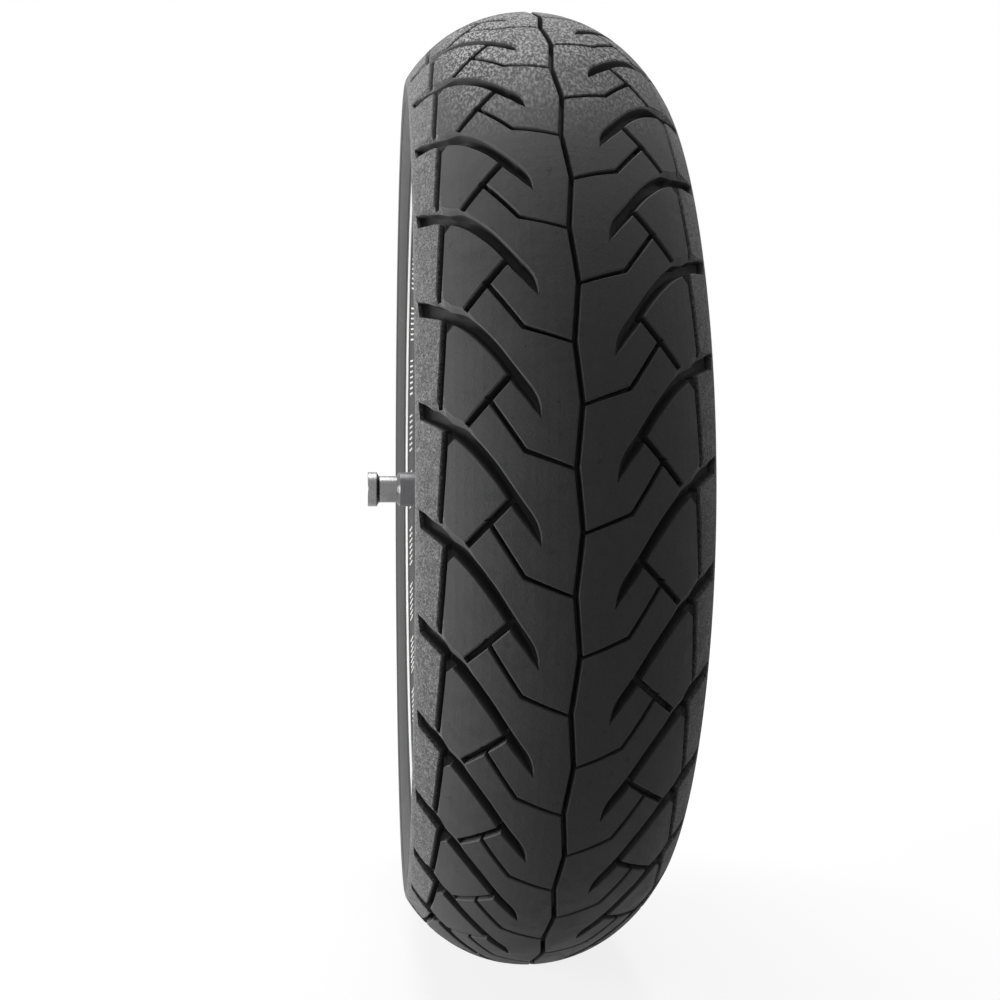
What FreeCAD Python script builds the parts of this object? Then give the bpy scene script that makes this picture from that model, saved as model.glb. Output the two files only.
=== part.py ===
"""Small motorcycle wheel on its axle, fitted with a 100/80-10 tubeless tyre.

Frame: millimetres, +Y along the axle, +Z up, origin at the wheel's centre on the axle's axis.
Every turned or moulded piece is a section in (y, r) spun about Y: y runs along the axle, r is the radius.
The tyre is laid up as the real one is: liner, two plies, breaker, bead cores and fillers, chafers,
sidewalls and tread.
"""
import FreeCAD
import Part

import math
import os

# ---------------------------------------------------------------- driving dimensions
# tyre, 100/80-10: outer diameter 254 + 2 x 80
TYRE_RADIUS = 207.0          # crown radius
CROWN_ARC = 59.3             # radius of the tread's cross arc
CROWN_ANGLE = 57.0           # degrees of that arc on each side
SHOULDER_ROUND = 6.1         # rounding where the tread turns into the sidewall
SIDEWALL_SHARE = 0.57        # the bulge's share of the sidewall, the rest is the hollow above the rim
SIDEWALL_FOOT = 8.9          # how far the sidewall's foot stands out past the rim's flange face
FOOT_ROUND = 2.7
FLANGE_GAP = 0.6             # tyre clear of the flange's top
CROWN_THICKNESS = 12.7       # tread face to inner liner at the centre
CAVITY_CROWN_ARC = 52.0      # inner surface under the tread
CAVITY_SIDE_ARC = 20.0       # inner surface of the sidewall
SIDEWALL_THICKNESS = 2.85    # air chamber's widest point, in from where the bulge meets the hollow
LINER = 1.0
PLY = 0.9
BREAKER = 0.9
BREAKER_HALF_WIDTH = 36.0
TREAD_UNDERCUT = 8.0         # how far the tread reaches in under its edge, down the shoulder
BEAD_WIDTH = 14.55           # bead base, from heel to toe
TOE_HEIGHT = 1.4
TOE_BEVEL = 0.8
BEAD_CORE_RADIUS = 2.3
BEAD_CORE_INSET = 4.95       # core centre from the flange face
BEAD_CORE_HEIGHT = 4.4       # core centre over the seat
FILLER_FOOT = 8.0            # filler's reach from the core towards the air chamber, where the ply bounds it
FILLER_NECK = 0.4            # how far the filler leans out at the flange
FILLER_LEAN = 5.4            # filler tip, out past the flange face
FILLER_RISE = 8.0            # filler tip, over the flange
FILLER_TIP = 10.0            # the same reach at the tip
FILLER_BEND = 3.0
TURN_UP = 6.5                # turned-up ply, over the flange
HEEL_ROUND = 3.5             # rounding of the bead's heel, larger than the rim's own corner
CHAFER = 1.2

# rim, MT 2.50 x 10
RIM_SEAT_RADIUS = 126.6      # where the bead seat meets the flange
RIM_HALF_WIDTH = 31.75
SEAT_TAPER = 5.0             # degrees
FLANGE_HEIGHT = 14.0
FLANGE_CURL = 4.0
FLANGE_LIP = 6.6             # how far the lip stands out past the flange face
FLANGE_EDGE = 2.6
LIP_EDGE = 1.2
SEAT_WIDTH = 15.35
RIM_CORNER = 3.0             # corner between seat and flange, smaller than the bead's heel
RIM_WALL = 4.8
WELL_SLOPE = 1.5
WELL_RADIUS = 108.0
WELL_HALF_WIDTH = 9.0

# wheel casting
SPOKES = 5
SPOKE_HALF_WIDTH_HUB = 12.5
SPOKE_HALF_WIDTH_RIM = 8.5
WINDOW_INNER_RADIUS = 41.0
WINDOW_OUTER_RADIUS = 98.0
WINDOW_CORNER = 9.0
WINDOW_EDGE_ROUND = 3.0
WEB_ROUND = 6.0
WEB_HALF_HUB = 17.0
WEB_HALF_RIM = 12.5
HUB_RADIUS = 23.0
HUB_HALF_LENGTH = 41.0
HUB_END_ROUND = 0.5
HUB_DRAFT = 2.5
HUB_BORE = 13.5
DISC_FLANGE_RADIUS = 37.0
DISC_FACE = 36.0             # distance of the brake disc face from the centre plane
DISC_FLANGE_THICKNESS = 8.0
DISC_FLANGE_EDGE = 1.0
DISC_BOLT_CIRCLE = 58.0
DISC_BOLTS = 3
DISC_TAP_RADIUS = 3.4        # M8 tapping size
DISC_TAP_DEPTH = 16.0

# ball bearing 6201
BEARING_BORE = 12.0
BEARING_OUTER = 32.0
BEARING_WIDTH = 10.0
BEARING_POSITION = 24.0      # inner face of each bearing from the centre plane
BALLS = 7
BALL_RADIUS = 2.95
RACE_CLEARANCE = 0.05
RACE_EDGE = 0.3
RACE_SHOULDER = 2.0          # how far each ring stands from the ball's pitch circle
CAGE_CLEARANCE = 0.1
CAGE_WEB = 0.5               # cage metal left outside each pocket
CAGE_THICKNESS = 1.4
SHIELD = 0.8
SHIELD_INSET = 0.4

# axle
AXLE_RADIUS = BEARING_BORE / 2
AXLE_HALF_LENGTH = 66.5
AXLE_HEAD_RADIUS = 7.8
AXLE_HEAD = 5.0              # head length, with its chamfer
AXLE_HEAD_CHAMFER = 1.0
AXLE_EDGE = 0.3
FORK_SEAT = 8.2              # bare axle between head and collar, where the fork leg sits
COLLAR_RADIUS = 7.8
COLLAR_CHAMFER = 1.4
COLLAR_CLEARANCE = 0.05
SOCKET_ACROSS_FLATS = 6.0
SOCKET_DEPTH = 4.0
END_SCREW_RADIUS = 4.0
END_SCREW_LENGTH = 20.0
END_SCREW_SPARE = 2.0        # empty thread below the end screw
TUBE_WALL = 2.3
SEAL_WIDTH = 5.6
SEAL_INSET = 0.6             # from the bearing's face
SEAL_RUBBER = 2.0
SEAL_LIP = 1.2
SEAL_BEND = 0.6
SEAL_CLEARANCE = 0.1

# valve, in the rim well, pointing at the hub
VALVE_HOLE_RADIUS = 5.75
VALVE_SPOT_RADIUS = 11.0
VALVE_WALL = 4.6             # rim wall under the spot face
VALVE_STEM_RADIUS = 3.85
VALVE_ANGLE = -math.pi / 2   # the valve stands at the bottom of the wheel, in a window
VALVE_FLOOR = -WELL_RADIUS   # z of the rim well's floor at the valve
VALVE_LENGTH = 33.0          # from the well floor to the mouth
VALVE_INSIDE = 4.0           # length of the stem on the tyre side of the rim
VALVE_BARE = 9.0             # threaded end of the stem outside its rubber
VALVE_FOOT_RADIUS = 8.5
VALVE_SHOULDER_RADIUS = 7.5
VALVE_THROAT = 1.6
VALVE_DISC = 2.0             # height of the disc that closes the core from below
RUBBER_WALL = 1.2
RUBBER_ROUND = 1.0
RUBBER_CLEARANCE = 0.05
VALVE_CAP_CLEARANCE = 0.1
VALVE_CAP_WALL = 0.95
VALVE_CAP_GAP = 0.4
VALVE_CAP_TOP = 2.7
PIN_RADIUS = 0.6
PIN_CLEARANCE = 0.1
PIN_TRAVEL = 1.5
CORE_RADIUS = 2.55
CORE_CLEARANCE = 0.05
CORE_WALL = 0.8
CORE_LENGTH = 14.0
CORE_INSET = 1.5
SPRING_LENGTH = 5.6
SPRING_WIRE = 0.3
SPRING_CLEARANCE = 0.02
SPRING_TURNS = 5
SPRING_SIDES = 10            # the wire is drawn with this many flats

FULL_TURN = 360.0
CENTRE = FreeCAD.Vector(0, 0, 0)
AXLE_AXIS = FreeCAD.Vector(0, 1, 0)


# ---------------------------------------------------------------- drawing and spinning sections
def at(y, r):
    """A point of a section, which is drawn in the plane of the axle and +X."""
    return FreeCAD.Vector(r, y, 0)


def polar(centre, radius, degrees):
    """The point of a circle, degrees counted from straight out (+r) towards +y."""
    turn = math.radians(degrees)
    return (centre[0] + radius * math.sin(turn), centre[1] + radius * math.cos(turn))


def line(start, end):
    return Part.makeLine(at(*start), at(*end))


def arc(start, middle, end):
    return Part.Arc(at(*start), at(*middle), at(*end)).toShape()


def arc_about(centre, radius, first, last):
    """An arc from one angle to another about a centre."""
    middle = (first + last) / 2
    return arc(polar(centre, radius, first), polar(centre, radius, middle), polar(centre, radius, last))


def disc(centre, radius):
    """A round face of the section plane."""
    return Part.Face(Part.Wire(Part.makeCircle(radius, at(*centre), FreeCAD.Vector(0, 0, 1))))


def rounded(corners):
    """A closed face from corners (y, r, rounding), each corner rounded by a tangent arc."""
    points = [FreeCAD.Vector(c[1], c[0], 0) for c in corners]
    edges = []
    previous = None
    first = None
    for i, corner in enumerate(corners):
        here = points[i]
        back = (points[i - 1] - here).normalize()
        ahead = (points[(i + 1) % len(points)] - here).normalize()
        if corner[2] > 0:
            half = back.getAngle(ahead) / 2
            reach = corner[2] / math.tan(half)
            enter = here + back * reach
            leave = here + ahead * reach
            inward = (back + ahead).normalize()
            middle = here + inward * (corner[2] / math.sin(half) - corner[2])
            bend = Part.Arc(enter, middle, leave).toShape()
        else:
            enter = leave = here
            bend = None
        if previous is not None and (enter - previous).Length > 1e-6:
            edges.append(Part.makeLine(previous, enter))
        if bend is not None:
            edges.append(bend)
        if first is None:
            first = enter
        previous = leave
    if (first - previous).Length > 1e-6:
        edges.append(Part.makeLine(previous, first))
    return Part.Face(Part.Wire(edges))


def spin(face):
    """A section face turned once about the axle."""
    return face.revolve(CENTRE, AXLE_AXIS, FULL_TURN)


def mirror(shape):
    """The same shape on the other side of the wheel."""
    return shape.mirror(CENTRE, AXLE_AXIS)


def spin_both_sides(half_face):
    """A half section and its mirror image, turned once about the axle as one solid."""
    half = spin(half_face)
    return half.fuse(mirror(half)).removeSplitter()


def ring(inner, outer, low, high):
    """A plain ring from y low to y high."""
    return spin(rounded([(low, inner, 0), (high, inner, 0), (high, outer, 0), (low, outer, 0)]))


def largest(shape):
    return max(shape.Faces, key=lambda f: f.Area)


def save(shape, name):
    """Writes a sub-part; a group of solids is kept as separate solids in one node."""
    solids = shape.Solids
    body = solids[0] if len(solids) == 1 else Part.makeCompound(solids)
    body.exportStep("parts/" + name + ".step")


# ---------------------------------------------------------------- tyre section
CROWN_CENTRE = (0.0, TYRE_RADIUS - CROWN_ARC)
SHOULDER_CENTRE = polar(CROWN_CENTRE, CROWN_ARC - SHOULDER_ROUND, CROWN_ANGLE)
SHOULDER_EDGE = (SHOULDER_CENTRE[0] + SHOULDER_ROUND, SHOULDER_CENTRE[1])
FLANGE_RADIUS = RIM_SEAT_RADIUS + FLANGE_HEIGHT
FOOT = (RIM_HALF_WIDTH + SIDEWALL_FOOT, FLANGE_RADIUS + FLANGE_GAP + FOOT_ROUND)
CAVITY_CENTRE = (0.0, TYRE_RADIUS - CROWN_THICKNESS - CAVITY_CROWN_ARC)
TOE = (RIM_HALF_WIDTH - BEAD_WIDTH, RIM_SEAT_RADIUS + TOE_HEIGHT)
# the sidewall is a bulge and a hollow that meet in one tangent, upright at the tread's edge and at the foot
SIDEWALL_IN = SHOULDER_EDGE[0] - FOOT[0]
SIDEWALL_HEIGHT = SHOULDER_EDGE[1] - FOOT[1]
BOTH_ARCS = (SIDEWALL_IN ** 2 + SIDEWALL_HEIGHT ** 2) / (2 * SIDEWALL_IN)
BULGE_ARC = SIDEWALL_SHARE * BOTH_ARCS
HOLLOW_ARC = BOTH_ARCS - BULGE_ARC
BULGE_TURN = math.degrees(math.asin(SIDEWALL_HEIGHT / BOTH_ARCS))
BULGE_CENTRE = (SHOULDER_EDGE[0] - BULGE_ARC, SHOULDER_EDGE[1])
BULGE_END = polar(BULGE_CENTRE, BULGE_ARC, 90 + BULGE_TURN)
CAVITY_SIDE_OUT = BULGE_END[0] - SIDEWALL_THICKNESS - CAVITY_SIDE_ARC
CAVITY_CROWN_ANGLE = math.degrees(math.asin(CAVITY_SIDE_OUT / (CAVITY_CROWN_ARC - CAVITY_SIDE_ARC)))
CAVITY_SIDE_CENTRE = polar(CAVITY_CENTRE, CAVITY_CROWN_ARC - CAVITY_SIDE_ARC, CAVITY_CROWN_ANGLE)
BEAD_CORE_CENTRE = (RIM_HALF_WIDTH - BEAD_CORE_INSET, RIM_SEAT_RADIUS + BEAD_CORE_HEIGHT)


def seat_radius(y):
    """The rim's tapered bead seat, which the bead base lies on."""
    return RIM_SEAT_RADIUS - math.tan(math.radians(SEAT_TAPER)) * (RIM_HALF_WIDTH - y)


def tangent_angle(point, centre, radius):
    """Angle on a circle where the line from a point outside touches it, on the +y side."""
    away = math.hypot(point[0] - centre[0], point[1] - centre[1])
    direction = math.degrees(math.atan2(point[0] - centre[0], point[1] - centre[1]))
    return direction % 360 - math.degrees(math.acos(radius / away))


def cavity_edges():
    """The air chamber's wall on the +y side, from the centre plane to the toe."""
    touch = tangent_angle(TOE, CAVITY_SIDE_CENTRE, CAVITY_SIDE_ARC)
    return [
        arc_about(CAVITY_CENTRE, CAVITY_CROWN_ARC, 0, CAVITY_CROWN_ANGLE),
        arc_about(CAVITY_SIDE_CENTRE, CAVITY_SIDE_ARC, CAVITY_CROWN_ANGLE, touch),
        line(polar(CAVITY_SIDE_CENTRE, CAVITY_SIDE_ARC, touch), TOE),
    ]


def sidewall_edges():
    """The bulge and the hollow of the sidewall, from the tread's edge to the foot."""
    return [
        arc_about(BULGE_CENTRE, BULGE_ARC, 90, 90 + BULGE_TURN),
        arc_about((FOOT[0] + HOLLOW_ARC, FOOT[1]), HOLLOW_ARC, 270 + BULGE_TURN, 270),
    ]


def bead_edges():
    """The foot over the flange, then the bead down the flange face and along the seat to the toe."""
    curl = FLANGE_CURL + FLANGE_GAP
    curl_centre = (RIM_HALF_WIDTH + curl, FLANGE_RADIUS - FLANGE_CURL)
    over_flange = FLANGE_RADIUS + FLANGE_GAP
    heel_y = RIM_HALF_WIDTH - HEEL_ROUND
    heel_centre = (heel_y, seat_radius(heel_y) + HEEL_ROUND / math.cos(math.radians(SEAT_TAPER)))
    toe_low = (TOE[0] + TOE_BEVEL, seat_radius(TOE[0] + TOE_BEVEL))
    return [
        arc_about((FOOT[0] - FOOT_ROUND, FOOT[1]), FOOT_ROUND, 90, 180),
        line((FOOT[0] - FOOT_ROUND, over_flange), (curl_centre[0], over_flange)),
        arc_about(curl_centre, curl, 360, 270),
        line((RIM_HALF_WIDTH, curl_centre[1]), (RIM_HALF_WIDTH, heel_centre[1])),
        arc_about(heel_centre, HEEL_ROUND, 90, 180 - SEAT_TAPER),
        line(polar(heel_centre, HEEL_ROUND, 180 - SEAT_TAPER), toe_low),
        line(toe_low, TOE),
    ]


def outer_edges():
    """The outside of the tyre on the +y side, from the crown to the toe."""
    tread = [
        arc_about(CROWN_CENTRE, CROWN_ARC, 0, CROWN_ANGLE),
        arc_about(SHOULDER_CENTRE, SHOULDER_ROUND, CROWN_ANGLE, 90),
    ]
    return tread + sidewall_edges() + bead_edges()


def half_plane(y0, y1, r0, r1):
    """A rectangle of the section plane."""
    return rounded([(y0, r0, 0), (y1, r0, 0), (y1, r1, 0), (y0, r1, 0)])


def tyre_section():
    """The whole tyre on the +y side, before it is divided into its pieces."""
    across = line((0.0, TYRE_RADIUS - CROWN_THICKNESS), (0.0, TYRE_RADIUS))
    return Part.Face(Part.Wire(outer_edges() + cavity_edges()[::-1] + [across]))


def grown_chamber(distance):
    """The air chamber on the +y side, grown outwards; it runs past the centre plane and below the toe."""
    past_centre = CAVITY_CROWN_ARC / 2
    back_turn = -math.degrees(math.asin(past_centre / CAVITY_CROWN_ARC))
    floor = TOE[1] - BEAD_WIDTH
    closing = [
        line(TOE, (TOE[0], floor)),
        line((TOE[0], floor), (-past_centre, floor)),
        line((-past_centre, floor), polar(CAVITY_CENTRE, CAVITY_CROWN_ARC, back_turn)),
        arc_about(CAVITY_CENTRE, CAVITY_CROWN_ARC, 0, back_turn),
    ]
    face = Part.Face(Part.Wire(Part.__sortEdges__(cavity_edges() + closing)))
    return face.makeOffset2D(distance) if distance > 0 else face


def filler_outline():
    """The hard rubber wedge that stands on the bead core and leans out over the flange."""
    core_y, core_r = BEAD_CORE_CENTRE
    tip_y = RIM_HALF_WIDTH + FILLER_LEAN
    tip_r = FLANGE_RADIUS + FILLER_RISE
    return rounded([
        (core_y - BEAD_CORE_RADIUS - FILLER_FOOT, core_r, 0),
        (core_y + BEAD_CORE_RADIUS, core_r, 0),
        (core_y + BEAD_CORE_RADIUS + FILLER_NECK, FLANGE_RADIUS - BEAD_CORE_RADIUS, FILLER_BEND),
        (tip_y, tip_r, 0),
        (tip_y - FILLER_TIP, tip_r, 0),
    ])


def tread_outline():
    """The part of the section that is tread rubber, with its lower edge laid over the breaker's."""
    above = TYRE_RADIUS + TREAD_UNDERCUT
    below = SHOULDER_EDGE[1] - TREAD_UNDERCUT
    return rounded([
        (0, above, 0),
        (SHOULDER_EDGE[0] + SHOULDER_ROUND, above, 0),
        (SHOULDER_EDGE[0] + SHOULDER_ROUND, SHOULDER_EDGE[1], 0),
        (SHOULDER_EDGE[0] - SHOULDER_ROUND / 2, SHOULDER_EDGE[1], 0),
        (BREAKER_HALF_WIDTH, below, 0),
        (0, below, 0),
    ])


def tyre_faces():
    """Divides the +y half of the tyre's section into its pieces, from the bead outwards."""
    whole = tyre_section()
    wide = SHOULDER_EDGE[0] + TYRE_RADIUS
    bottom = TOE[1] - BEAD_WIDTH
    liner_edge = grown_chamber(LINER)
    ply_1_edge = grown_chamber(LINER + PLY)
    ply_2_edge = grown_chamber(LINER + 2 * PLY)
    breaker_edge = grown_chamber(LINER + 2 * PLY + BREAKER)

    core = disc(BEAD_CORE_CENTRE, BEAD_CORE_RADIUS)
    filler = largest(filler_outline().cut(core).cut(ply_2_edge).common(whole))
    bundle = core.fuse(filler).removeSplitter().Faces[0]

    turned_up = bundle.makeOffset2D(PLY).cut(bundle).cut(ply_2_edge).common(whole)
    turned_up = turned_up.common(half_plane(0, wide, bottom, FLANGE_RADIUS + TURN_UP))
    above_core = half_plane(0, wide, BEAD_CORE_CENTRE[1] - BEAD_CORE_RADIUS - PLY, TYRE_RADIUS)
    ply_2 = ply_2_edge.cut(ply_1_edge).common(whole).common(above_core)
    ply_2 = largest(ply_2.fuse(largest(turned_up)).removeSplitter())
    ply_1 = largest(ply_1_edge.cut(liner_edge).common(whole).common(above_core))
    above_toe = half_plane(0, wide, TOE[1] + LINER, TYRE_RADIUS)
    liner = largest(liner_edge.cut(grown_chamber(0)).common(whole).common(above_toe))

    used = ply_2.fuse([ply_1, liner, core, filler]).removeSplitter()
    bead = half_plane(0, RIM_HALF_WIDTH, bottom, FLANGE_RADIUS - FLANGE_CURL)
    off_the_rim = half_plane(0, RIM_HALF_WIDTH - CHAFER, RIM_SEAT_RADIUS + CHAFER, TYRE_RADIUS)
    against_rim = largest(whole.common(bead).cut(off_the_rim).cut(used))
    toe_side = half_plane(0, BEAD_CORE_CENTRE[0], bottom, BEAD_CORE_CENTRE[1])
    toe_rubber = largest(whole.common(toe_side).cut(used))
    chafer = largest(against_rim.fuse(toe_rubber).removeSplitter())
    used = used.fuse(chafer).removeSplitter()

    under_tread = half_plane(0, BREAKER_HALF_WIDTH, SHOULDER_EDGE[1] - TREAD_UNDERCUT, TYRE_RADIUS)
    breaker = largest(breaker_edge.cut(ply_2_edge).common(whole).common(under_tread))
    used = used.fuse(breaker).removeSplitter()
    tread = largest(whole.common(tread_outline()).cut(used))
    sidewall = largest(whole.cut(tread).cut(used))
    return {
        "core": core, "filler": filler, "ply_1": ply_1, "ply_2": ply_2, "liner": liner,
        "chafer": chafer, "breaker": breaker, "tread": tread, "sidewall": sidewall,
    }


def make_tyre():
    faces = tyre_faces()
    save(spin_both_sides(faces["tread"]), "tread_band")
    save(spin_both_sides(faces["breaker"]), "breaker_ply")
    save(spin_both_sides(faces["ply_2"]), "carcass_ply_outer")
    save(spin_both_sides(faces["ply_1"]), "carcass_ply_inner")
    save(spin_both_sides(faces["liner"]), "inner_liner")
    for side, place in (("right", lambda s: s), ("left", mirror)):
        save(place(spin(faces["sidewall"])), "sidewall_" + side)
        save(place(spin(faces["core"])), "bead_core_" + side)
        save(place(spin(faces["filler"])), "bead_filler_" + side)
        save(place(spin(faces["chafer"])), "chafer_" + side)


# ---------------------------------------------------------------- wheel casting
def casting_section():
    """Rim, web and hub in one section, from the bore outwards on the right and back on the left."""
    bearing_seat = BEARING_OUTER / 2
    lip = RIM_HALF_WIDTH + FLANGE_LIP
    shoulder = RIM_HALF_WIDTH - SEAT_WIDTH
    under_seat = seat_radius(shoulder) - RIM_WALL
    under_well = WELL_RADIUS - VALVE_WALL
    lip_low = FLANGE_RADIUS - FLANGE_CURL - LIP_EDGE / 2
    right = [
        (BEARING_POSITION, HUB_BORE, 0),
        (BEARING_POSITION, bearing_seat, 0),
        (HUB_HALF_LENGTH, bearing_seat, 0),
        (HUB_HALF_LENGTH, HUB_RADIUS, HUB_END_ROUND),
        (WEB_HALF_HUB + HUB_DRAFT, HUB_RADIUS + 1, WEB_ROUND),
        (WEB_HALF_HUB, WINDOW_INNER_RADIUS - WEB_ROUND, WEB_ROUND),
        (WEB_HALF_RIM, under_well, WEB_ROUND),
        (shoulder, under_seat, RIM_CORNER),
        (RIM_HALF_WIDTH, under_seat + SEAT_WIDTH * math.tan(math.radians(SEAT_TAPER)), RIM_WALL),
        (RIM_HALF_WIDTH + FLANGE_CURL, lip_low - LIP_EDGE, RIM_CORNER),
        (lip, lip_low, LIP_EDGE),
        (lip, FLANGE_RADIUS, FLANGE_EDGE),
        (RIM_HALF_WIDTH, FLANGE_RADIUS, FLANGE_CURL),
        (RIM_HALF_WIDTH, RIM_SEAT_RADIUS, RIM_CORNER),
        (shoulder, seat_radius(shoulder), WELL_SLOPE),
        (WELL_HALF_WIDTH + WELL_SLOPE, WELL_RADIUS, RIM_WALL - LIP_EDGE),
    ]
    left = [(-y, r, rounding) for y, r, rounding in right[::-1]]
    flange_back = DISC_FACE - DISC_FLANGE_THICKNESS
    disc_flange = [
        (-(flange_back - WEB_ROUND / 2), DISC_FLANGE_RADIUS - DISC_FLANGE_THICKNESS, RIM_CORNER),
        (-flange_back, DISC_FLANGE_RADIUS, DISC_FLANGE_EDGE),
        (-DISC_FACE, DISC_FLANGE_RADIUS, DISC_FLANGE_EDGE),
        (-DISC_FACE, HUB_RADIUS, 0),
    ]
    web_root = len(right) - 5
    return rounded(right + left[:web_root] + disc_flange + left[web_root + 1:])


def window_prism(middle_angle):
    """The opening between two spokes, as a prism along the axle with rounded corners."""
    half_step = math.pi / SPOKES
    start = -HUB_HALF_LENGTH

    def corner(radius, side, half_width):
        spoke = middle_angle + side * half_step
        along = math.sqrt(radius ** 2 - half_width ** 2)
        across = -side * half_width
        x = along * math.cos(spoke) - across * math.sin(spoke)
        z = along * math.sin(spoke) + across * math.cos(spoke)
        return FreeCAD.Vector(x, start, z)

    def on_circle(radius):
        return FreeCAD.Vector(radius * math.cos(middle_angle), start, radius * math.sin(middle_angle))

    inner_a = corner(WINDOW_INNER_RADIUS, -1, SPOKE_HALF_WIDTH_HUB)
    inner_b = corner(WINDOW_INNER_RADIUS, 1, SPOKE_HALF_WIDTH_HUB)
    outer_a = corner(WINDOW_OUTER_RADIUS, -1, SPOKE_HALF_WIDTH_RIM)
    outer_b = corner(WINDOW_OUTER_RADIUS, 1, SPOKE_HALF_WIDTH_RIM)
    outline = Part.Wire([
        Part.Arc(inner_a, on_circle(WINDOW_INNER_RADIUS), inner_b).toShape(),
        Part.makeLine(inner_b, outer_b),
        Part.Arc(outer_b, on_circle(WINDOW_OUTER_RADIUS), outer_a).toShape(),
        Part.makeLine(outer_a, inner_a),
    ])
    prism = Part.Face(outline).extrude(FreeCAD.Vector(0, 2 * HUB_HALF_LENGTH, 0))
    upright = [e for e in prism.Edges if abs(e.Vertexes[0].Y - e.Vertexes[-1].Y) > HUB_HALF_LENGTH]
    return prism.makeFillet(WINDOW_CORNER, upright)


def window_rims(casting):
    """The edges where the windows meet the two faces of the web."""
    found = []
    for edge in casting.Edges:
        middle = edge.valueAt((edge.FirstParameter + edge.LastParameter) / 2)
        radius = math.hypot(middle.x, middle.z)
        beside_window = WINDOW_INNER_RADIUS - 1 < radius < WINDOW_OUTER_RADIUS + 1
        on_web_face = abs(middle.y) > WEB_HALF_RIM / 2
        runs_through = abs(edge.Vertexes[0].Y - edge.Vertexes[-1].Y) > WEB_HALF_RIM
        if beside_window and on_web_face and not runs_through:
            found.append(edge)
    return found


def disc_hole(index):
    """A blind hole for one of the brake disc's screws; the first is straight above the axle."""
    angle = math.radians(90 + index * FULL_TURN / DISC_BOLTS)
    reach = DISC_BOLT_CIRCLE / 2
    base = FreeCAD.Vector(reach * math.cos(angle), -DISC_FACE, reach * math.sin(angle))
    return Part.makeCylinder(DISC_TAP_RADIUS, DISC_TAP_DEPTH, base, AXLE_AXIS)


def upright_cylinder(radius, low, high):
    return Part.makeCylinder(radius, high - low, FreeCAD.Vector(0, 0, low), FreeCAD.Vector(0, 0, 1))


def make_casting():
    casting = spin(casting_section())
    for index in range(SPOKES):
        casting = casting.cut(window_prism(VALVE_ANGLE + index * 2 * math.pi / SPOKES))
    casting = casting.makeFillet(WINDOW_EDGE_ROUND, window_rims(casting))
    clear_of_rim = VALVE_FLOOR + 2 * (VALVE_WALL + WEB_ROUND)
    casting = casting.cut(upright_cylinder(VALVE_HOLE_RADIUS, VALVE_FLOOR - RIM_WALL, clear_of_rim))
    casting = casting.cut(upright_cylinder(VALVE_SPOT_RADIUS, VALVE_FLOOR + VALVE_WALL, clear_of_rim))
    for index in range(DISC_BOLTS):
        casting = casting.cut(disc_hole(index))
    save(casting, "wheel_casting")


# ---------------------------------------------------------------- bearings
PITCH_RADIUS = (BEARING_BORE + BEARING_OUTER) / 4
GROOVE_RADIUS = BALL_RADIUS + RACE_CLEARANCE


def race(low, high):
    """A bearing ring between two radii, with its ball groove, centred on the bearing's own plane."""
    half = BEARING_WIDTH / 2
    corners = [(-half, low), (half, low), (half, high), (-half, high)]
    body = rounded([(y, r, RACE_EDGE) for y, r in corners])
    return spin(largest(body.cut(disc((0, PITCH_RADIUS), GROOVE_RADIUS))))


def ball_centre(index):
    angle = 2 * math.pi * index / BALLS
    return FreeCAD.Vector(PITCH_RADIUS * math.cos(angle), 0, PITCH_RADIUS * math.sin(angle))


def balls():
    return Part.makeCompound([Part.makeSphere(BALL_RADIUS, ball_centre(i)) for i in range(BALLS)])


def cage():
    """A ribbon cage between the rings, with a pocket round each ball."""
    half = BALL_RADIUS + CAGE_CLEARANCE + CAGE_WEB
    body = ring(PITCH_RADIUS - CAGE_THICKNESS / 2, PITCH_RADIUS + CAGE_THICKNESS / 2, -half, half)
    for index in range(BALLS):
        outwards = ball_centre(index)
        body = body.cut(Part.makeCylinder(BALL_RADIUS + CAGE_CLEARANCE, BEARING_OUTER, CENTRE, outwards))
    return body


def shield(side):
    """A seal fixed in the outer ring, just clear of the inner one."""
    outer_face = side * (BEARING_WIDTH / 2 - SHIELD_INSET)
    inner_face = outer_face - side * SHIELD
    low, high = sorted((outer_face, inner_face))
    return ring(PITCH_RADIUS - RACE_SHOULDER + SEAL_CLEARANCE, PITCH_RADIUS + RACE_SHOULDER, low, high)


def make_bearings():
    middle = BEARING_POSITION + BEARING_WIDTH / 2
    for side, sign in (("left", -1), ("right", 1)):
        def seated(shape):
            moved = shape.copy()
            moved.translate(FreeCAD.Vector(0, sign * middle, 0))
            return moved
        save(seated(race(PITCH_RADIUS + RACE_SHOULDER, BEARING_OUTER / 2)), "bearing_outer_race_" + side)
        save(seated(race(BEARING_BORE / 2, PITCH_RADIUS - RACE_SHOULDER)), "bearing_inner_race_" + side)
        save(seated(balls()), "bearing_balls_" + side)
        save(seated(cage()), "bearing_cage_" + side)
        save(seated(Part.makeCompound([shield(1), shield(-1)])), "bearing_seals_" + side)


# ---------------------------------------------------------------- axle and what is clamped on it
COLLAR_FACE = AXLE_HALF_LENGTH - AXLE_HEAD - FORK_SEAT
HUB_STACK_END = BEARING_POSITION + BEARING_WIDTH


def socket(start, depth):
    """A hexagonal socket along the axle, cut from one end face."""
    reach = SOCKET_ACROSS_FLATS / 2 / math.cos(math.pi / 6)
    points = []
    for i in range(7):
        turn = math.pi / 3 * i
        points.append(FreeCAD.Vector(reach * math.cos(turn), start, reach * math.sin(turn)))
    return Part.Face(Part.Wire(Part.makePolygon(points))).extrude(FreeCAD.Vector(0, depth, 0))


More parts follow.
